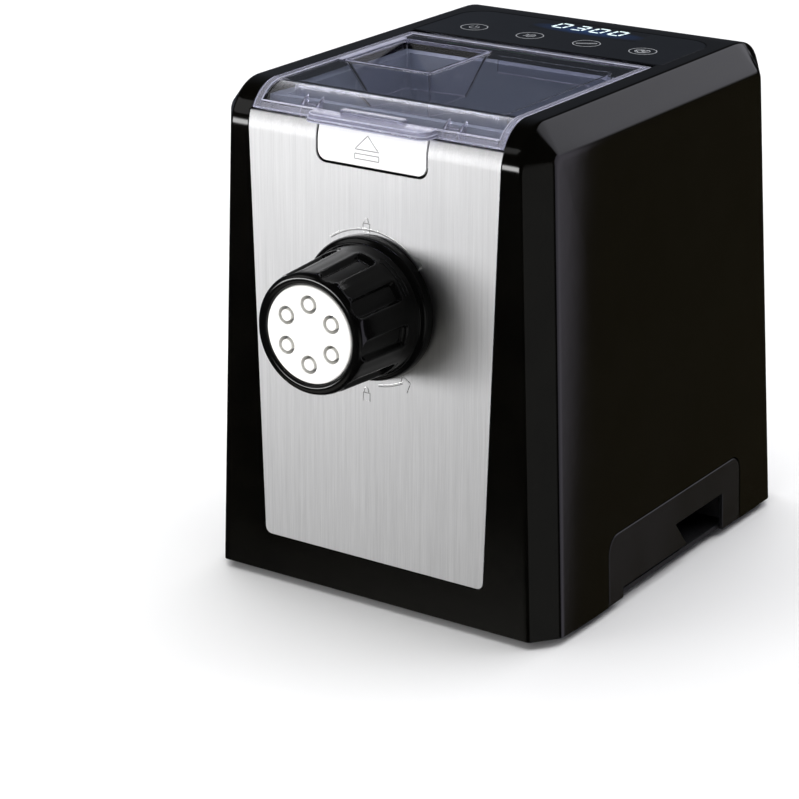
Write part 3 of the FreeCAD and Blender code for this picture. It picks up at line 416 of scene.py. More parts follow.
M = {}
M["gloss_black"] = gloss_plastic("gloss_black_abs", (0.0009, 0.0008, 0.0006), (0.0020, 0.0018, 0.0013), 0.06, 0.11, 0.36)
M["nut_black"] = gloss_plastic("nut_black_abs", (0.0010, 0.0010, 0.0010), (0.0020, 0.0019, 0.0018), 0.09, 0.15, 0.36, 0.03, 0.04)
M["panel_black"] = gloss_plastic("touch_glass", (0.0025, 0.003, 0.004), (0.004, 0.0048, 0.0062), 0.035, 0.06, 0.5, 0.0, 0.015)


# Lighter, slightly bluish black for the drawer face: a painted sheen standing in for the lavender-grey reflection on
# the drawer front.
M["drawer_black"] = gloss_plastic("drawer_black_abs", (0.0075, 0.0075, 0.0085), (0.0110, 0.0110, 0.0125), 0.12, 0.20, 0.42)


def grain_plastic(name, dark, light, r0, r1, grain=900, amount=0.25, level=0.4):
    m = Mat(name)
    m.b.inputs["Specular IOR Level"].default_value = level
    m.set("Base Color", m.mix(m.span(m.noise(45, 5), 0, 1), dark, light))
    m.set("Roughness", m.span(m.noise(120, 4), r0, r1))
    v = m.new("ShaderNodeTexVoronoi")
    v.inputs["Scale"].default_value = grain
    m.link(m.coords((1, 1, 1)), v.inputs["Vector"])
    first = m.bump(v.outputs["Distance"], amount, 0.0002)
    m.set("Normal", m.bump(m.noise(grain * 1.7, 3), amount * 0.6, 0.0001, first))
    return m.m


M["matte_black"] = grain_plastic("matte_black_abs", (0.008, 0.008, 0.009), (0.016, 0.016, 0.017), 0.42, 0.6)
M["rubber"] = grain_plastic("rubber_black", (0.012, 0.012, 0.012), (0.024, 0.023, 0.022), 0.7, 0.88, 600, 0.4, 0.3)
M["die_white"] = grain_plastic("die_ivory", (0.80, 0.79, 0.76), (0.88, 0.87, 0.84), 0.34, 0.46, 1400, 0.05, 0.5)
M["tab_white"] = grain_plastic("tab_white_abs", (0.90, 0.90, 0.90), (0.94, 0.94, 0.94), 0.26, 0.36, 1600, 0.03, 0.5)
M["gear_nylon"] = grain_plastic("gear_acetal", (0.60, 0.58, 0.50), (0.72, 0.70, 0.62), 0.38, 0.5, 900, 0.12, 0.45)


def metal(name, a, b, r0, r1, stretch, scale=220, amount=0.12):
    m = Mat(name)
    m.b.inputs["Metallic"].default_value = 1.0
    m.set("Base Color", m.mix(m.span(m.noise(60, 4), 0, 1), a, b))
    n = m.noise(scale, 4, 0.6, stretch)
    m.set("Roughness", m.span(n, r0, r1))
    m.set("Normal", m.bump(n, amount, 0.0002))
    return m.m


M["zinc"] = metal("zinc_plate", (0.55, 0.55, 0.56), (0.70, 0.70, 0.70), 0.24, 0.40, (1, 1, 1))
M["brass"] = metal("brass_turned", (0.66, 0.47, 0.16), (0.80, 0.60, 0.25), 0.22, 0.36, (1, 1, 1))


def steel():
    m = Mat("steel_brushed")
    m.b.inputs["Metallic"].default_value = 1.0
    m.b.inputs["Anisotropic"].default_value = 0.1
    fine = m.noise(1.0, 5, 0.62, (2600, 2600, 38))
    wide = m.noise(1.0, 4, 0.55, (520, 520, 9))
    blot = m.noise(9, 3)
    tone = m.math("ADD", m.math("MULTIPLY", fine, 0.6), m.math("MULTIPLY", wide, 0.4))
    m.set("Base Color", m.mix(m.span(tone, 0, 1, 0.34, 0.66), (0.74, 0.74, 0.75), (0.90, 0.90, 0.91)))
    m.set("Roughness", m.span(m.math("ADD", m.math("MULTIPLY", fine, 0.75), m.math("MULTIPLY", blot, 0.25)), 0.51, 0.65))
    m.set("Normal", m.bump(fine, 0.16, 0.00012, m.bump(wide, 0.05, 0.0003)))
    t = m.new("ShaderNodeTangent", direction_type="RADIAL", axis="Z")
    m.link(t.outputs[0], m.b.inputs["Tangent"])
    return m.m


M["steel"] = steel()


def clear():
    m = Mat("clear_lid_pc")
    m.b.inputs["Transmission Weight"].default_value = 1.0
    m.b.inputs["IOR"].default_value = 1.32
    m.set("Base Color", m.mix(m.span(m.noise(20, 3), 0, 1), (0.90, 0.90, 0.97), (0.94, 0.94, 0.99)))
    m.set("Roughness", m.span(m.noise(30, 4), 0.01, 0.035))
    m.set("Normal", m.bump(m.noise(45, 2), 0.02, 0.0005))
    return m.m


M["clear"] = clear()


def clear_edge():
    """Cut and moulded edges of the clear plastic, lighter lavender and less clear than the lid: a painted highlight
    along the edges.
    """
    m = Mat("clear_edge_painted_highlight_pc")
    m.b.inputs["Transmission Weight"].default_value = 0.35
    m.b.inputs["IOR"].default_value = 1.45
    m.set("Base Color", m.mix(m.span(m.noise(60, 3), 0, 1), (0.50, 0.50, 0.66), (0.74, 0.74, 0.88)))
    m.set("Roughness", m.span(m.noise(90, 4), 0.12, 0.30))
    m.set("Normal", m.bump(m.noise(160, 2), 0.06, 0.0004))
    return m.m


M["clear_edge"] = clear_edge()


def clear_rim():
    """Thicker clear plastic, a little milky."""
    m = Mat("clear_rim_pc")
    m.b.inputs["Transmission Weight"].default_value = 0.80
    m.b.inputs["IOR"].default_value = 1.40
    m.set("Base Color", m.mix(m.span(m.noise(35, 3), 0, 1), (0.62, 0.62, 0.76), (0.78, 0.78, 0.90)))
    m.set("Roughness", m.span(m.noise(60, 4), 0.04, 0.14))
    m.set("Normal", m.bump(m.noise(120, 2), 0.04, 0.0004))
    return m.m


M["clear_rim"] = clear_rim()


def tub():
    m = Mat("tub_grey_painted_glow_pc")
    m.b.inputs["Specular IOR Level"].default_value = 0.5
    # Slate-grey chamber plastic. The base colour is set lighter than the plastic's own, and the emission makes it glow:
    # painted light standing in for the light that comes in through the clear lid.
    m.set("Base Color", m.mix(m.span(m.noise(16, 4), 0, 1), (0.20, 0.225, 0.285), (0.25, 0.275, 0.34)))
    m.b.inputs["Emission Color"].default_value = rgb(0.030, 0.034, 0.044)
    m.b.inputs["Emission Strength"].default_value = 0.9
    m.set("Roughness", m.span(m.noise(24, 4), 0.16, 0.30))
    m.set("Normal", m.bump(m.noise(700, 3), 0.05, 0.0002))
    return m.m


M["tub_grey"] = tub()


def board():
    m = Mat("circuit_board")
    v = m.new("ShaderNodeTexBrick")
    v.inputs["Scale"].default_value = 120
    v.inputs["Mortar Size"].default_value = 0.06
    v.inputs["Color1"].default_value = rgb(0.012, 0.085, 0.035)
    v.inputs["Color2"].default_value = rgb(0.016, 0.11, 0.045)
    v.inputs["Mortar"].default_value = rgb(0.09, 0.24, 0.10)
    m.link(m.coords((1, 1, 1)), v.inputs["Vector"])
    m.set("Base Color", v.outputs[0])
    m.set("Roughness", m.span(m.noise(90, 3), 0.3, 0.5))
    m.set("Normal", m.bump(v.outputs["Fac"], 0.15, 0.0002))
    return m.m


M["board"] = board()


def ink(name, colour, rough0=0.3, rough1=0.5, emit=0.0):
    m = Mat(name)
    c2 = tuple(min(1.0, c * 1.12) for c in colour)
    m.set("Base Color", m.mix(m.span(m.noise(300, 3), 0, 1), colour, c2))
    m.set("Roughness", m.span(m.noise(200, 3), rough0, rough1))
    if emit:
        m.b.inputs["Emission Color"].default_value = rgb(*colour)
        m.b.inputs["Emission Strength"].default_value = emit
    return m.m


M["print_grey"] = ink("print_grey", (0.34, 0.35, 0.37), emit=0.05)
# Dark grey lines: the print of the eject symbol, and also the painted shade along the lower side of the marks pressed
# into the steel.
M["print_and_painted_shade_line"] = ink("print_and_painted_shade_line", (0.20, 0.20, 0.20))
M["display_glow"] = ink("display_glow", (0.62, 0.74, 0.76), emit=0.62)
M["display_halo"] = ink("display_halo", (0.010, 0.030, 0.10), emit=0.5)

slots = {
    "gloss_black": ["main_housing", "rear_cover", "drawer_front"],
    "steel": ["front_panel"],
    "tab_white": ["release_button"],
    "clear": ["lid", "filling_funnel", "lid_hook_left", "lid_hook_right"],
    "nut_black": ["die_nut"],
    "die_white": ["die_disc"],
    "tub_grey": ["mixing_chamber", "mixing_paddle", "extrusion_tube", "extrusion_screw"],
    "panel_black": ["control_panel"],
    "matte_black": ["base_plate", "front_bracket", "gear_cover", "drawer_tray", "drawer_rail_front",
                    "drawer_rail_rear", "lid_switch", "motor_fan",
                    "display_module"],
    "rubber": ["foot_front_left", "foot_front_right", "foot_rear_left", "foot_rear_right", "cord_gland",
               "shaft_seal"],
    "gear_nylon": ["output_gear", "idler_gear"],
    "brass": ["motor_pinion"],
    "board": ["control_board", "power_board"],
}
named = {n for ns in slots.values() for n in ns}
slots["zinc"] = [n for n in nodes if n not in named]
for s, ns in slots.items():
    for n in ns:
        o = nodes[n]
        if len(o.data.materials) == 0:
            o.data.materials.append(M[s])
        for k in range(len(o.data.materials)):
            o.data.materials[k] = M[s]


# ------------------------------------------------------------------ outer form
def lin(a, b, n, last=False):
    a, b = np.array(a, float), np.array(b, float)
    return [a + (b - a) * t for t in np.linspace(0, 1, n, endpoint=last)]


def arc(c, r, d0, d1, n, last=False):
    return [np.array([c[0] + r * math.cos(math.radians(t)), c[1] + r * math.sin(math.radians(t))])
            for t in np.linspace(d0, d1, n, endpoint=last)]


def bez(a, b, c, n, last=False):
    a, b, c = (np.array(p, float) for p in (a, b, c))
    return [a * (1 - t) ** 2 + b * 2 * t * (1 - t) + c * t * t for t in np.linspace(0, 1, n, endpoint=last)]


def along(p, q, d):
    p, q = np.array(p, float), np.array(q, float)
    return p + (q - p) / np.linalg.norm(q - p) * d


def profile(kind):
    """Front edge, rounded top front, top, rear chamfer and back, as (y, z) points."""
    if kind == "band":
        yf, r, zt, e1, e2, e3, rr = 0.0, 26.0, 300.0, (247.0, 300.0), (281.3, 272.0), (296.0, 0.0), 0.0
    else:
        yf, r, zt, e1, e2, e3, rr = 16.14, 4.2, 283.86, (253.5, 283.86), (257.5, 279.86), (275.0, 0.0), 1.6
    c = (yf + r, zt - r)
    pts = lin((yf, 0), (yf, c[1]), 36)
    pts += arc(c, r, 180, 90, 22)
    pts += lin((c[0], zt), (e1[0] - rr, zt), 28)
    if kind == "band":
        p0, p1, p2, p3 = (np.array(q, float) for q in (e1, (264.0, 300.0), (279.0, 297.0), e2))
        for t in np.linspace(0, 1, 18, endpoint=False):
            pts.append(p0 * (1 - t) ** 3 + p1 * 3 * t * (1 - t) ** 2 + p2 * 3 * t * t * (1 - t) + p3 * t ** 3)
    else:
        pts += bez((e1[0] - rr, zt), e1, along(e1, e2, rr), 6)
        pts += lin(along(e1, e2, rr), along(e2, e1, rr), 6)
        pts += bez(along(e2, e1, rr), e2, along(e2, e3, rr), 6)
    pts += lin(e2 if kind == "band" else along(e2, e3, rr), e3, 34, True)
    return np.array(pts)


def prof_y(z):
    """Depth of the front surface at a height, following the rounded top front."""
    if z <= 274.0:
        return 0.0
    return 26.0 - math.sqrt(max(0.0, 26.0 ** 2 - (min(z, 300.0) - 274.0) ** 2))


def crown(y):
    u = max(0.0, 1.0 - (y - 16.14) / 46.0)
    return 1.35 * u * u


def outer_form(name):
    band, side = profile("band"), profile("side")
    n = len(band)
    b3 = np.array([[W(z) - 13.58, y, z] for y, z in band])
    s3 = np.array([[W(z) - crown(y), y, z] for y, z in side])
    centre = np.array([143.0, 0.0])

    def on_side(t):
        yz = side + (centre - side) * t
        return np.array([[W(z) - crown(y), y, z] for y, z in yz])

    d = s3 - b3
    ln = np.linalg.norm(d, axis=1)[:, None]
    u = d / ln
    x_in = np.array([1.0, 0, 0])
    rings = []
    for dx in (10.0, 4.0):
        rings.append(b3 - x_in * dx)
    r1 = 1.6
    p0, p1, p2 = b3 - x_in * r1, b3, b3 + u * r1
    for t in (0, 0.2, 0.4, 0.6, 0.8, 1.0):
        rings.append(p0 * (1 - t) ** 2 + p1 * 2 * t * (1 - t) + p2 * t * t)
    for t in (0.25, 0.5, 0.75):
        rings.append(b3 + d * t)
    r2 = 2.2
    t_in = 0.017
    p0, p1, p2 = s3 - u * r2, s3, on_side(t_in)
    for t in (0, 0.2, 0.4, 0.6, 0.8, 1.0):
        rings.append(p0 * (1 - t) ** 2 + p1 * 2 * t * (1 - t) + p2 * t * t)
    for t in (0.03, 0.05, 0.08, 0.12, 0.17, 0.23, 0.30, 0.38, 0.5, 0.65, 0.82):
        rings.append(on_side(t))
    m = len(rings)
    verts, faces = [], []
    for sgn in (1, -1):
        for rg in rings:
            for p in rg:
                verts.append((p[0] * sgn, p[1], p[2]))
        verts.append((W(0) * sgn, centre[0], 0.0))
    half = m * n + 1
    for k, sgn in enumerate((1, -1)):
        o = k * half
        for i in range(m - 1):
            for j in range(n - 1):
                q = (o + i * n + j, o + (i + 1) * n + j, o + (i + 1) * n + j + 1, o + i * n + j + 1)
                faces.append(q if sgn > 0 else q[::-1])
        c = o + m * n
        for j in range(n - 1):
            q = (o + (m - 1) * n + j, c, o + (m - 1) * n + j + 1)
            faces.append(q if sgn > 0 else q[::-1])
    for j in range(n - 1):
        faces.append((half + j, j, j + 1, half + j + 1))
    ob = mesh_obj(name, verts, faces)
    return ob


def split_form(name, rear):
    ob = outer_form(name)
    no = Vector((0, 300.0, 18.87)).normalized()
    co = R(0, 276.54 + (0.35 if rear else 0.0), 0)
    bm = bmesh.new()
    bm.from_mesh(ob.data)
    bmesh.ops.remove_doubles(bm, verts=bm.verts[:], dist=1e-7)
    bmesh.ops.bisect_plane(bm, geom=bm.verts[:] + bm.edges[:] + bm.faces[:], plane_co=co, plane_no=no,
                           clear_outer=not rear, clear_inner=rear)
    bm.to_mesh(ob.data)
    bm.free()
    m = ob.modifiers.new("wall", "SOLIDIFY")
    m.thickness = 0.0028
    m.offset = -1.0
    m.use_even_offset = True
    m.use_rim = True
    applied(ob)
    outward(ob)
    return ob


def front_slices(name, width, z0, z1, y_front, y_back, r):
    """Closed body of horizontal slices: a panel that follows the front surface."""
    zs = sorted(set(np.round(np.concatenate([
        z0 + r - r * np.cos(np.linspace(0, math.pi / 2, 7)) if r else [z0],
        np.linspace(z0 + r, 274.0, 3),
        274.0 + 26.0 * np.sin(np.linspace(0, 0.6, 14)),
        [z1]]), 4)))
    zs = [z for z in zs if z <= z1]
    verts = []
    for z in zs:
        w = width(z)
        if r and z < z0 + r:
            w -= r - math.sqrt(max(0.0, r * r - (z0 + r - z) ** 2))
        yf, yb = y_front(z), y_back(z)
        verts += [(-w, yf, z), (w, yf, z), (w, yb, z), (-w, yb, z)]
    faces = [(3, 2, 1, 0)]
    for i in range(len(zs) - 1):
        a, b = 4 * i, 4 * i + 4
        for k in range(4):
            k2 = (k + 1) % 4
            faces.append((a + k, a + k2, b + k2, b + k))
    e = 4 * (len(zs) - 1)
    faces.append((e, e + 1, e + 2, e + 3))
    ob = mesh_obj(name, verts, faces)
    outward(ob)
    return ob


housing = split_form("body_shell", False)
panel_w = lambda z: 77.1 + (z - 24.9) * (85.4 - 77.1) / (285.0 - 24.9)
cut_with(housing, front_slices("c1", lambda z: panel_w(z) + 0.6, 24.3, 285.4,
                               lambda z: -6.0, lambda z: prof_y(z) + 1.3, 5.1))
cut_with(housing, prism("c2", [(31.0 * math.sin(t), 182.4 + 31.0 * math.cos(t))
                               for t in np.linspace(0, 2 * math.pi, 64, endpoint=False)], -5, 14))
cut_with(housing, prism("c3", [(-85.1, 285.3), (85.1, 285.3), (85.1, 320), (-85.1, 320)], -10, 173.7))
cut_with(housing, prism("c4", round_poly([(-87.3, 173.2), (87.3, 173.2), (87.3, 244.3), (-87.3, 244.3)],
                                         [0, 0, 18.3, 18.3]), 298.4, 306, "z"))
cut_with(housing, prism("c5", round_poly([(-38.3, 261.6), (38.3, 261.6), (38.3, 288), (-38.3, 288)],
                                         [7, 7, 0, 0]), -5, 14))
cut_with(housing, prism("c6", round_poly([(68.2, -5), (234.8, -5), (234.8, 43.8), (68.2, 43.8)],
                                         [0, 0, 11, 11]), 100, 130, "x"))
soft_edges(housing, 0.45, 2, 40.0, clean=False, harden=True)
place(housing, "machine", M["gloss_black"], "main_housing")

rear = split_form("rear_shell", True)
slots_cut = []
for i in range(9):
    z = 110 + 11 * i
    slots_cut.append(prism("v%d" % i, round_poly([(-62, z), (62, z), (62, z + 5), (-62, z + 5)], [2.4] * 4, 4), 262, 300))
for i in range(9):
    x = -60 + 15 * i
    slots_cut.append(prism("w%d" % i, round_poly([(x - 2, 22), (x + 2, 22), (x + 2, 60), (x - 2, 60)], [1.9] * 4, 4), 262, 305))
soft_edges(rear, 0.4, 2, 40.0, clean=False)
cut_with(rear, join("vents", slots_cut))
shade(rear, 30)
place(rear, "machine", M["gloss_black"], "rear_cover")

# ------------------------------------------------------------------ stand-ins from the solids, edges rounded
for node, name, slot, width, seg, ang in (
        ("front_panel", "steel_sheet", "steel", 0.28, 2, 40),
        ("control_panel", "touch_panel", "panel_black", 0.35, 3, 40),
        ("drawer_front", "drawer_face", "gloss_black", 0.7, 3, 30),
        ("filling_funnel", "clear_funnel", "clear", 0.4, 2, 40),
        ("die_disc", "die_face", "die_white", 0.4, 3, 40),
):
    ob = copy_of(node, name)
    if node == "control_panel":
        for v in ob.data.vertices:
            if v.co.z > 0.3048:
                v.co.z -= 0.00012
    soft_edges(ob, width, seg, ang)
    weighted(ob, 36)
    # The drawer face gets the black with the painted sheen.
    place(ob, body_of[node], M["drawer_black"] if node == "drawer_front" else M[slot], node)


# ------------------------------------------------------------------ nut
def smooth01(t):
    t = np.clip(t, 0.0, 1.0)
    return t * t * (3 - 2 * t)


def nut_piece():
    """Union nut: flange, nine grip channels with round front ends, and a rolled front rim."""
    prof = [(30.6, -0.6), (36.0, -0.6), (41.9, -0.6), (42.5, -0.9), (42.6, -1.5), (42.6, -3.4), (42.6, -5.2), (42.45, -6.3),
            (42.0, -7.2), (41.3, -7.9), (40.4, -8.35), (39.7, -8.6), (39.3, -8.95), (39.0, -9.5), (38.8, -10.4)]
    for y in np.arange(-11.4, -57.6, -0.85):
        base_r = np.interp(-y, [11.4, 15, 20, 30, 45, 57.6], [38.6, 38.05, 37.5, 36.9, 36.1, 35.5])
        prof.append((base_r, y))
    prof += [(35.42, -58.2), (35.3, -58.9), (35.1, -59.6), (34.8, -60.3), (34.35, -60.9), (33.8, -61.4), (33.1, -61.75),
             (32.2, -61.95), (31.3, -62.0), (30.5, -61.9), (29.8, -61.6), (29.3, -61.1), (29.0, -60.4), (28.8, -59.4),
             (28.7, -58.4), (28.7, -57.3), (29.6, -57.3), (30.6, -57.3), (30.6, -40.0), (30.6, -20.0)]
    half = [-20, -17.6, -15.2, -13.0] + list(np.arange(-11.2, 11.3, 0.8)) + [13.0, 15.2, 17.6]
    verts, faces = [], []
    m = len(prof)
    count = 0
    for lobe in range(9):
        for phi in half:
            th = math.radians(17.0 + 40.0 * lobe + phi)
            s = math.radians(phi) * 36.6
            for r, y in prof:
                if r > 32.0 and y < -12.0:
                    rc = 5.2 if y < -40.0 else 1.5
                    qx, qy = abs(s) - (5.5 - rc), abs(y + 39.8) - (19.6 - rc)
                    sd = math.hypot(max(qx, 0), max(qy, 0)) + min(max(qx, qy), 0) - rc
                    r = r - 2.6 * float(smooth01((0.95 - sd) / 1.9))
                    r = r + 0.35 * math.exp(-((sd - 1.7) / 1.1) ** 2) * (1 if y > -58 else 0)
                verts.append((r * math.sin(th), y, 182.4 + r * math.cos(th)))
            count += 1
    for k in range(count):
        k2 = (k + 1) % count
        for i in range(m):
            j = (i + 1) % m
            faces.append((k * m + i, k * m + j, k2 * m + j, k2 * m + i))
    ob = mesh_obj("nut_body", verts, faces)
    outward(ob)
    return ob


def on_nut(deg, y, lift=0.0):
    r = float(np.interp(-y, [9, 11.4, 15, 20, 30], [39.3, 38.6, 38.05, 37.5, 36.9])) + lift
    t = math.radians(deg)
    return (r * math.sin(t), y, 182.4 + r * math.cos(t))


nut = nut_piece()
shade(nut, 50)
place(nut, "nut", M["nut_black"], "die_nut")
loop = [on_nut(a, -13.2, 0.05) for a in np.linspace(30, 62, 22)]
loop += [on_nut(62 + 2.2 * math.sin(t), -14.6 + 1.4 * math.cos(t), 0.05) for t in np.linspace(0.3, math.pi - 0.3, 6)]
loop += [on_nut(a, -16.0, 0.05) for a in np.linspace(62, 30, 22)]
loop += [on_nut(27.5, -17.6, 0.05), on_nut(24.0, -14.6, 0.05), on_nut(27.5, -11.8, 0.05)]
mark = tube("nut_arrow", [loop], 0.32, 1.0, 1, 8, cyclic=True)
shade(mark, 60)
place(mark, "nut", M["nut_black"])

# ------------------------------------------------------------------ release button
plate = front_slices("tab_plate", lambda z: 36.55, 263.7, 285.4, lambda z: prof_y(z) + 0.05,
                     lambda z: prof_y(z) + 2.3, 5.8)
soft_edges(plate, 0.45, 3, 40.0, clean=False)
posts = []
for k, x in enumerate((-25, 25)):
    posts.append(prism("post%d" % k, [(x + 2.5 * math.sin(t), 272.0 + 2.5 * math.cos(t))
                                      for t in np.linspace(0, 2 * math.pi, 24, endpoint=False)], 2.2, 14.0))
tab = join("eject_tab", [plate] + posts)
weighted(tab, 36)
place(tab, "button", M["tab_white"], "release_button")


def rect_loop(x0, z0, x1, z1, y, n=6):
    c = [(x0, z0), (x1, z0), (x1, z1), (x0, z1)]
    out = []
    for i in range(4):
        a, b = np.array(c[i], float), np.array(c[(i + 1) % 4], float)
        out += [(p[0], y, p[1]) for p in (a + (b - a) * t for t in np.linspace(0, 1, n, endpoint=False))]
    return out


tri_c = [(-2.9, 281.4), (5.2, 273.2), (-11.0, 273.2)]
tri = []
for i in range(3):
    a, b = np.array(tri_c[i]), np.array(tri_c[(i + 1) % 3])
    tri += [(p[0], prof_y(p[1]) + 0.03, p[1]) for p in (a + (b - a) * t for t in np.linspace(0, 1, 8, endpoint=False))]
sym = tube("eject_symbol", [tri, rect_loop(-11.2, 267.7, 5.2, 270.7, 0.03)], 0.27, 0.5, 1, 8, cyclic=True)
shade(sym, 60)
place(sym, "button", M["print_and_painted_shade_line"])

# ------------------------------------------------------------------ marks pressed into the steel, each drawn as a light steel line (painted highlight on its upper side) beside a dark line (painted shade on its lower side)
def ring_pts(r0, r1, d0, d1, n, y=-0.02):
    return [((r0 + (r1 - r0) * i / (n - 1)) * math.sin(math.radians(a)), y,
             182.4 + (r0 + (r1 - r0) * i / (n - 1)) * math.cos(math.radians(a)))
            for i, a in enumerate(np.linspace(d0, d1, n))]


# Brighter, smoother steel for the light lines of the pressed marks: a painted highlight along their upper side.
M["steel_highlight_paint"] = metal("steel_painted_highlight", (0.86, 0.86, 0.87), (0.95, 0.95, 0.95), 0.25, 0.36, (1, 1, 0.1), 400, 0.1)
highlight_paths = [ring_pts(46.6, 44.6, -38, 33, 34), ring_pts(46.6, 46.6, 174, 152, 14),
            [(26.5, -0.02, 216.8), (31.5, -0.02, 216.0), (34.6, -0.02, 211.6)],
            [(24.6, -0.02, 135.0), (27.0, -0.02, 141.2), (21.4, -0.02, 144.2)]]
shade_paths = [ring_pts(45.6, 43.8, -37, 34, 34), ring_pts(47.7, 47.7, 174, 153, 14),
            [(34.6, -0.02, 211.6), (29.5, -0.02, 207.8), (27.2, -0.02, 210.2)],
            [(21.4, -0.02, 144.2), (20.2, -0.02, 139.6)]]
for zc in (229.0, 127.6):
    highlight_paths += [[(-5.0, -0.02, zc + 2.4), (-4.9, -0.02, zc + 4.2), (-3.6, -0.02, zc + 5.2), (-2.2, -0.02, zc + 4.4),
                  (-1.9, -0.02, zc + 2.2)]]
    shade_paths += [[(-5.6, -0.02, zc + 1.8), (-1.0, -0.02, zc + 1.8), (-1.0, -0.02, zc - 3.2)]]
    highlight_paths += [[(-5.6, -0.02, zc + 1.8), (-5.6, -0.02, zc - 3.2), (-1.0, -0.02, zc - 3.2)]]
# The light lines are painted highlight and the dark lines are painted shade on the marks pressed into the steel.
for nm, paths, mt in (("steel_mark_painted_highlight", highlight_paths, "steel_highlight_paint"), ("steel_mark_painted_shade", shade_paths, "print_and_painted_shade_line")):
    ob = tube(nm, paths, 0.30, 0.5, 1, 8)
    shade(ob, 60)
    place(ob, "machine", M[mt])

# ------------------------------------------------------------------ touch panel print
def circle_xy(cx, cy, r, z, n=56, d0=0.0, d1=360.0, close=True):
    e = not close
    return [(cx + r * math.cos(math.radians(a)), cy + r * math.sin(math.radians(a)), z)
            for a in np.linspace(d0, d1, n, endpoint=e)]


ZP = 299.93
centres = [(-58.5, 199.0), (-17.5, 198.0), (22.0, 199.0), (60.4, 200.0)]
ob = tube("touch_rings", [circle_xy(c[0], c[1], 8.4, ZP) for c in centres], 0.26, 0.25, 2, 8, cyclic=True)
shade(ob, 60)
place(ob, "machine", M["print_grey"])
c0, c1, c2, c3 = centres
icon = [circle_xy(c0[0], c0[1], 3.1, ZP, 26, 125, 415, False), [(c0[0], c0[1] + 1.0, ZP), (c0[0], c0[1] + 4.2, ZP)]]
for k in range(3):
    icon.append([(c1[0] - 3.6 + t * 7.2, c1[1] + (k - 1) * 2.4 + 1.0 * math.sin(t * 9 + k), ZP) for t in np.linspace(0, 1, 18)])
for off in (-0.75, 0.75):
    icon.append([(c2[0] - 4.6 + off * 0.5, c2[1] - 2.6 - off, ZP), (c2[0] + 4.6 + off * 0.5, c2[1] + 2.6 - off, ZP)])
icon.append(circle_xy(c2[0] + 4.6, c2[1] + 2.6, 0.95, ZP, 8, -60, 120, False))
icon.append(circle_xy(c2[0] - 4.6, c2[1] - 2.6, 0.95, ZP, 8, 120, 300, False))
for k, (dx, dy, r) in enumerate(((-2.2, 0.6, 2.3), (1.9, 0.9, 2.4), (0.0, -1.4, 2.6), (0.2, 2.0, 1.9), (-0.3, 0.1, 4.6))):
    icon.append(circle_xy(c3[0] + dx, c3[1] + dy, r, ZP, 18, 40 * k, 40 * k + 260, False))
ob = tube("touch_icons", icon, 0.27, 0.25, 2, 6)
shade(ob, 60)
place(ob, "machine", M["print_grey"])

seg = {"0": "abcdef", "3": "abcdg"}


def digit(ch, x0, y0, w=9.2, h=13.0, t=1.75, slant=0.16, z=299.93, th=0.05):
    gap = 0.25
    boxes = {
        "a": [(t * 0.6 + gap, h), (w - t * 0.6 - gap, h), (w - t - gap, h - t), (t + gap, h - t)],
        "d": [(t + gap, t), (w - t - gap, t), (w - t * 0.6 - gap, 0), (t * 0.6 + gap, 0)],
        "g": [(t + gap, h / 2 + t / 2), (w - t - gap, h / 2 + t / 2), (w - t - gap, h / 2 - t / 2), (t + gap, h / 2 - t / 2)],
        "f": [(0, h - t * 0.6), (t, h - t - gap), (t, h / 2 + t * 0.6), (0, h / 2 + gap)],
        "b": [(w - t, h - t - gap), (w, h - t * 0.6), (w, h / 2 + gap), (w - t, h / 2 + t * 0.6)],
        "e": [(0, h / 2 - gap), (t, h / 2 - t * 0.6), (t, t + gap), (0, t * 0.6)],
        "c": [(w - t, h / 2 - t * 0.6), (w, h / 2 - gap), (w, t * 0.6), (w - t, t + gap)],
    }
    out = []
    for k in seg[ch]:
        q = [(x0 + a + b * slant, y0 + b) for a, b in boxes[k]]
        out.append(prism("dg", round_poly(q, [0.25] * 4, 2), z, z + th, "z"))
    return out


bits = []
for i, ch in enumerate("0300"):
    bits += digit(ch, -20.5 + i * 13.2, 226.6)
ob = join("display_digits", bits)
shade(ob, 30)
place(ob, "machine", M["display_glow"])


def halo():
    m = Mat("display_haze")
    g = m.new("ShaderNodeTexGradient", gradient_type="SPHERICAL")
    mp = m.new("ShaderNodeMapping", vector_type="TEXTURE")
    mp.inputs["Location"].default_value = tuple(R(7.0, 228.0, 300.0))
    mp.inputs["Scale"].default_value = (0.042, 0.011, 0.01)
    m.link(m.tc.outputs["Object"], mp.inputs["Vector"])
    m.link(mp.outputs[0], g.inputs["Vector"])
    cloud = m.math("MULTIPLY", g.outputs["Fac"], m.span(m.noise(220, 3), 0.55, 1.0))
    col = m.mix(cloud, (0.0016, 0.0019, 0.0026), (0.006, 0.022, 0.075))
    m.set("Base Color", col)
    m.set("Emission Color", m.mix(cloud, (0.0, 0.0, 0.0), (0.006, 0.024, 0.08)))
    m.b.inputs["Emission Strength"].default_value = 1.0
    m.set("Roughness", m.span(m.noise(60, 3), 0.04, 0.08))
    return m.m


M["display_haze"] = halo()
ob = prism("display_window", round_poly([(-33, 218.5), (44, 218.5), (44, 242.3), (-33, 242.3)], [3] * 4, 6), 299.5, 299.915, "z")
shade(ob, 30)
place(ob, "machine", M["display_haze"])

# ------------------------------------------------------------------ clear lid details
def side_path(x, y_end, inset, n=16):
    """Along the lid's outer face, from the front lip over the curve to the rear."""
    r = 26.0 - inset
    pts = [(x, 26.0 - math.sqrt(26.0 ** 2 - 12.0 ** 2) + inset, 286.4)]
    a0 = math.asin(12.4 / 26.0)
    pts = [(x, 26.0 - r * math.cos(a), 274.0 + r * math.sin(a)) for a in np.linspace(a0, math.pi / 2, n)]
    pts += [(x, y, 300.0 - inset) for y in np.linspace(30, y_end, 12)]
    return pts


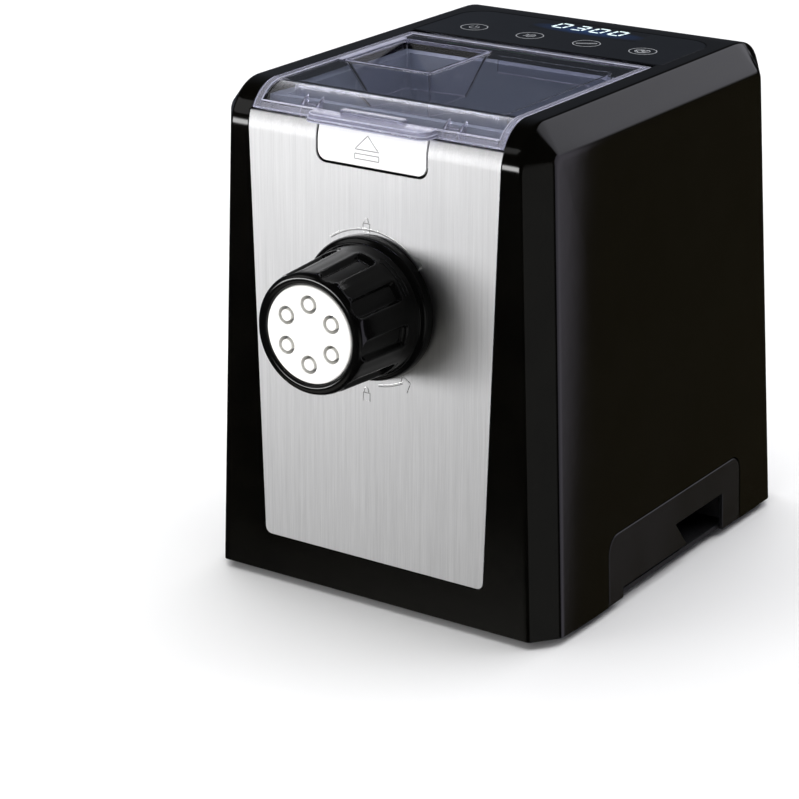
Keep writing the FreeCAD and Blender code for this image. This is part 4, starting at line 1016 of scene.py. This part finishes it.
def x_path(y, z, x0, x1, n=14):
    return [(x, y, z) for x in np.linspace(x0, x1, n)]


def strip(name, x0, x1, pts, thick, nx=2):
    """Closed strip that follows a side-view path of (y, z, inward normal) points."""
    verts, faces = [], []
    cols = []
    for y, z, ny, nz in pts:
        cols.append([(x0, y, z), (x1, y, z), (x1, y + ny * thick, z + nz * thick), (x0, y + ny * thick, z + nz * thick)])
    for c in cols:
        verts += c
    n = len(cols)
    faces.append((3, 2, 1, 0))
    for i in range(n - 1):
        a, b = 4 * i, 4 * i + 4
        for k in range(4):
            k2 = (k + 1) % 4
            faces.append((a + k, a + k2, b + k2, b + k))
    e = 4 * (n - 1)
    faces.append((e, e + 1, e + 2, e + 3))
    ob = mesh_obj(name, verts, faces)
    outward(ob)
    return ob


def lid_line(z_low, y_end, inset, n=20):
    """Side view of the lid's outer face, with inward normals."""
    out = []
    a0 = math.asin((z_low - 274.0) / 26.0)
    for a in np.linspace(a0, math.pi / 2, n):
        out.append((26.0 - (26.0 - inset) * math.cos(a), 274.0 + (26.0 - inset) * math.sin(a), math.cos(a), -math.sin(a)))
    for y in np.linspace(26.0, y_end, 10)[1:]:
        out.append((y, 300.0 - inset, 0.0, -1.0))
    return out


plate = strip("lid_plate", -80.2, 80.2, lid_line(290.2, 163.4, 0.45), 2.3)
cut_with(plate, prism("fh", round_poly([(-76.2, 80.8), (-13.8, 80.8), (-13.8, 149.2), (-76.2, 149.2)], [3] * 4, 5), 290, 305, "z"))
soft_edges(plate, 0.4, 2, 40.0, clean=False)
weighted(plate, 36)
place(plate, "lid", M["clear"], "lid")

rims = [strip("r0", -84.5, -80.25, lid_line(286.2, 163.4, 0.0), 3.2),
        strip("r1", 80.25, 84.5, lid_line(286.2, 163.4, 0.0), 3.2),
        strip("r2", -80.2, 80.2, [(q[0], q[1], q[2], q[3]) for q in lid_line(286.2, 60, 0.0, 40) if q[1] <= 290.15][:12], 3.0),
        strip("r3", -84.5, 84.5, [(163.45, 300.0, 0, -1), (165.5, 300.0, 0, -1), (167.4, 299.9, 0, -1), (168.8, 299.3, 0, -1),
                                  (169.9, 298.2, 0, -1)], 3.0)]
rim = join("lid_rim", rims)
soft_edges(rim, 0.7, 3, 40.0, clean=False)
weighted(rim, 36)
place(rim, "lid", M["clear_rim"])
barrel = prism("lid_barrel", [(170.0 + 2.9 * math.cos(t), 297.0 + 2.9 * math.sin(t)) for t in np.linspace(0, 2 * math.pi, 28, endpoint=False)], -72.5, 72.5, "x")
soft_edges(barrel, 0.4, 2, 60.0)
shade(barrel, 40)
place(barrel, "lid", M["clear"])

# Thin lines along the lid's edges in the clear-edge colour: painted highlight.
edge_paths = [[(x, q[0] + 0.0, q[1]) for q in lid_line(286.6, 165.0, 0.55)] for x in (-84.1, 84.1)]
edge_paths += [[(x, q[0], q[1]) for q in lid_line(290.6, 163.0, 0.6)] for x in (-80.3, 80.3)]
yb = 26.0 - math.sqrt(25.4 ** 2 - 12.4 ** 2)
yt = 26.0 - math.sqrt(25.6 ** 2 - 16.4 ** 2)
edge_paths += [x_path(yb, 286.55, -84.0, -42.5), x_path(yb, 286.55, 42.5, 84.0), x_path(yt, 290.4, -80.0, 80.0),
               x_path(163.4, 299.5, -80.0, 80.0), x_path(168.9, 298.9, -84.0, 84.0)]
ob = tube("lid_edges", edge_paths, 0.5, 0.9, 2, 8)
shade(ob, 60)
place(ob, "lid", M["clear_edge"])

# finger tab: two layers with a rolled lower lip
tab_out = round_poly([(-41.5, -8.0), (41.5, -8.0), (41.5, 5.0), (-41.5, 5.0)], [6.5, 6.5, 0, 0], 8)
t1 = prism("ft1", tab_out, 286.25, 288.4, "z")
tab_in = round_poly([(-40.6, -7.0), (40.6, -7.0), (40.6, 5.0), (-40.6, 5.0)], [5.6, 5.6, 0, 0], 8)
t2 = prism("ft2", tab_in, 288.5, 291.1, "z")
ft = join("finger_tab", [t1, t2])
soft_edges(ft, 0.6, 3, 40.0)
weighted(ft, 36)
place(ft, "lid", M["clear_rim"])


def open_front(c, inset, z):
    pts = round_poly(c, [6.3, 6.3, 0, 0], 8)
    return [(x, y, z) for x, y in pts]


# Lines along the finger tab's edges in the clear-edge colour: painted highlight.
lines = []
for zz, ins in ((286.7, 0.2), (288.35, 0.5), (290.8, 1.2)):
    x, y = 41.5 - ins, -8.0 + ins
    pl = round_poly([(-x, 4.5), (-x, y), (x, y), (x, 4.5)], [0, 6.3, 6.3, 0], 8)
    lines.append([(a, b, zz) for a, b in pl])
ob = tube("finger_tab_lines", lines, 0.42, 1.0, 2, 8)
shade(ob, 60)
place(ob, "lid", M["clear_edge"])

# latch bar and guide plates under the front of the lid
parts_in = [prism("lb0", round_poly([(-24, 3.5), (19, 3.5), (19, 8.5), (-24, 8.5)], [1] * 4, 3), 290.6, 293.0, "z")]
for x in (-53.5, -42.8, 42.8, 53.5):
    parts_in.append(prism("lb1", [(6.0, 280.5), (13.5, 280.5), (15.5, 294.6), (9.0, 291.8)], x - 0.6, x + 0.6, "x"))
for z0 in (283.0, 288.2):
    parts_in.append(prism("lb2", [(-53.5, 13.2), (-42.8, 13.2), (-42.8, 14.4), (-53.5, 14.4)], z0, z0 + 1.4, "z"))
    parts_in.append(prism("lb3", [(42.8, 13.2), (53.5, 13.2), (53.5, 14.4), (42.8, 14.4)], z0, z0 + 1.4, "z"))
ob = join("lid_latch_frame", parts_in)
soft_edges(ob, 0.3, 2, 40.0)
weighted(ob, 36)
place(ob, "lid", M["clear_rim"])

def wall(name, path, z0, z1, t):
    """Upright strip along a path in x and y."""
    p = [np.array(q, float) for q in path]
    left, right = [], []
    for i, q in enumerate(p):
        a = p[max(i - 1, 0)]
        b = p[min(i + 1, len(p) - 1)]
        d1 = (q - a) / max(np.linalg.norm(q - a), 1e-9) if i > 0 else (b - q) / np.linalg.norm(b - q)
        d2 = (b - q) / max(np.linalg.norm(b - q), 1e-9) if i < len(p) - 1 else d1
        nrm = np.array([-(d1 + d2)[1], (d1 + d2)[0]])
        nrm = nrm / np.linalg.norm(nrm)
        k = t / 2 / max(0.4, abs(float(nrm @ np.array([-d1[1], d1[0]]))))
        left.append(tuple(q + nrm * k))
        right.append(tuple(q - nrm * k))
    return prism(name, left + right[::-1], z0, z1, "z")


lip = wall("lid_lip", [(-66, 30), (-69, 27), (68, 27), (71, 30), (71, 143), (68, 146), (-8, 146)], 286.5, 297.2, 1.5)
soft_edges(lip, 0.35, 2, 40)
weighted(lip, 36)
place(lip, "lid", M["clear"])
# Line along the lip's lower edge in the clear-edge colour: painted highlight.
ob = tube("lid_lip_edge", [[(x, y, 286.6) for x, y in [(-66, 30), (-69, 27), (68, 27), (71, 30), (71, 143), (68, 146), (-8, 146)]]], 0.55, 1.0, 2, 8)
shade(ob, 60)
place(ob, "lid", M["clear_edge"])

# funnel rims, ledge and corner lines in the clear-edge colour: painted highlight along the funnel's edges
top = [(-75.2, 81.8), (-14.8, 81.8), (-14.8, 148.2), (-75.2, 148.2)]
low = [(-66.4, 96.6), (-23.6, 96.6), (-23.6, 135.4), (-66.4, 135.4)]


def loop3(c, z, r, n=6):
    return [(x, y, z) for x, y in round_poly(c, [r] * 4, n)]


ob = tube("funnel_rims", [loop3(top, 299.5, 3.0), loop3(low, 272.3, 3.0)], 0.42, 0.9, 2, 10, cyclic=True)
shade(ob, 60)
place(ob, "lid", M["clear_edge"])
ledge = prism("funnel_ledge", round_poly([(-79.2, 81.5), (-76.0, 81.5), (-76.0, 150.6), (-79.2, 150.6)], [0.8] * 4, 3), 299.2, 299.95, "z")
soft_edges(ledge, 0.25, 2, 40.0)
weighted(ledge, 36)
place(ledge, "lid", M["clear_edge"])
corner = tube("funnel_corners", [[(a[0], a[1], 299.2), (b[0], b[1], 272.6)] for a, b in zip(top, low)], 0.4, 1.0, 1, 8)
shade(corner, 60)
place(corner, "lid", M["clear_edge"])

# ------------------------------------------------------------------ floor, light
fl = 12.0
bm = bmesh.new()
bmesh.ops.create_grid(bm, x_segments=8, y_segments=8, size=fl)
me = bpy.data.meshes.new("floor")
bm.to_mesh(me)
bm.free()
floor = link(bpy.data.objects.new("floor", me))
floor.location = (0, 0, -0.0002)
fm = Mat("floor_pale")
fm.b.inputs["Specular IOR Level"].default_value = 0.1
fm.set("Base Color", fm.mix(fm.span(fm.noise(3, 2), 0, 1), (0.86, 0.86, 0.865), (0.89, 0.89, 0.89)))
fm.set("Roughness", fm.span(fm.noise(8, 2), 0.7, 0.8))
me.materials.append(fm.m)
floor.visible_glossy = False


def area(name, at, aim, size_x, size_y, power, colour=(1, 1, 1), spread=None):
    ld = bpy.data.lights.new(name, "AREA")
    ld.shape = "RECTANGLE"
    ld.size, ld.size_y = size_x, size_y
    ld.energy = power
    ld.color = colour
    if spread:
        ld.spread = math.radians(spread)
    o = link(bpy.data.objects.new(name, ld))
    o.location = at
    o.rotation_mode = "QUATERNION"
    o.rotation_quaternion = (Vector(aim) - Vector(at)).to_track_quat("-Z", "Y")
    return o


for k, (sx, sz, w) in enumerate(((1.5, 0.40, 6.4), (1.2, 0.32, 5.7), (0.9, 0.24, 4.1))):
    area("key_low%d" % k, (-1.05 + 0.01 * k, -1.70 + 0.015 * k, 0.21), (0, -0.1, 0.08), sx, sz, w)
area("key_high", (-1.25, -1.25, 1.15), (0, -0.1, 0.2), 0.9, 0.9, 2)
fill = area("fill_front", (0.30, -2.30, 1.10), (0, 0, 0.15), 1.2, 1.2, 15)
fill.visible_glossy = False
sun = bpy.data.lights.new("sky_soft", "SUN")
sun.energy = 3.9
sun.angle = math.radians(100)
sky = link(bpy.data.objects.new("sky_soft", sun))
sky.rotation_euler = (math.radians(-14), math.radians(-10), 0)
sky.visible_glossy = False

world = bpy.data.worlds.new("studio")
scene.world = world
world.use_nodes = True
wn = world.node_tree
wn.nodes.clear()
wo = wn.nodes.new("ShaderNodeOutputWorld")
bg = wn.nodes.new("ShaderNodeBackground")
wn.links.new(bg.outputs[0], wo.inputs[0])
tc = wn.nodes.new("ShaderNodeTexCoord")
base = None


def lobe(direction, d0, d1, colour):
    """A soft patch of light in one direction."""
    global base
    v = Vector(direction).normalized()
    dot = wn.nodes.new("ShaderNodeVectorMath")
    dot.operation = "DOT_PRODUCT"
    dot.inputs[1].default_value = v
    wn.links.new(tc.outputs["Generated"], dot.inputs[0])
    mr = wn.nodes.new("ShaderNodeMapRange")
    mr.interpolation_type = "SMOOTHSTEP"
    mr.inputs["From Min"].default_value = math.cos(math.radians(d0))
    mr.inputs["From Max"].default_value = math.cos(math.radians(d1))
    wn.links.new(dot.outputs["Value"], mr.inputs["Value"])
    sc = wn.nodes.new("ShaderNodeVectorMath")
    sc.operation = "SCALE"
    sc.inputs[0].default_value = colour
    wn.links.new(mr.outputs[0], sc.inputs["Scale"])
    ad = wn.nodes.new("ShaderNodeVectorMath")
    ad.operation = "ADD"
    if base is None:
        ad.inputs[0].default_value = (0.008, 0.008, 0.008)
    else:
        wn.links.new(base, ad.inputs[0])
    wn.links.new(sc.outputs[0], ad.inputs[1])
    base = ad.outputs[0]


def heading(azim, elev):
    """Direction from its angle from +X towards +Y and its elevation."""
    a, e = math.radians(azim), math.radians(elev)
    return (math.cos(a) * math.cos(e), math.sin(a) * math.cos(e), math.sin(e))


lobe(heading(35, -8), 23, 16, (0.74, 0.71, 0.86))          # strip behind the front edge of the side
lobe(heading(61, 27), 30, 19, (1.02, 1.02, 1.12))          # upper bevel
lobe(heading(-24, -18), 26, 12, (0.28, 0.28, 0.27))        # front bevel
lobe(heading(-124, -42), 20, 15, (0.42, 0.41, 0.38))       # low front
lobe(heading(138, 16), 42, 8, (0.045, 0.05, 0.062))         # top glass
lobe(heading(165, 14), 44.5, 30, (0.03, 0.033, 0.04))     # top glass, left part
lobe(heading(56, -22), 30, 6, (0.052, 0.042, 0.020))      # side face
wn.links.new(base, bg.inputs[0])
bg.inputs[1].default_value = 1.0
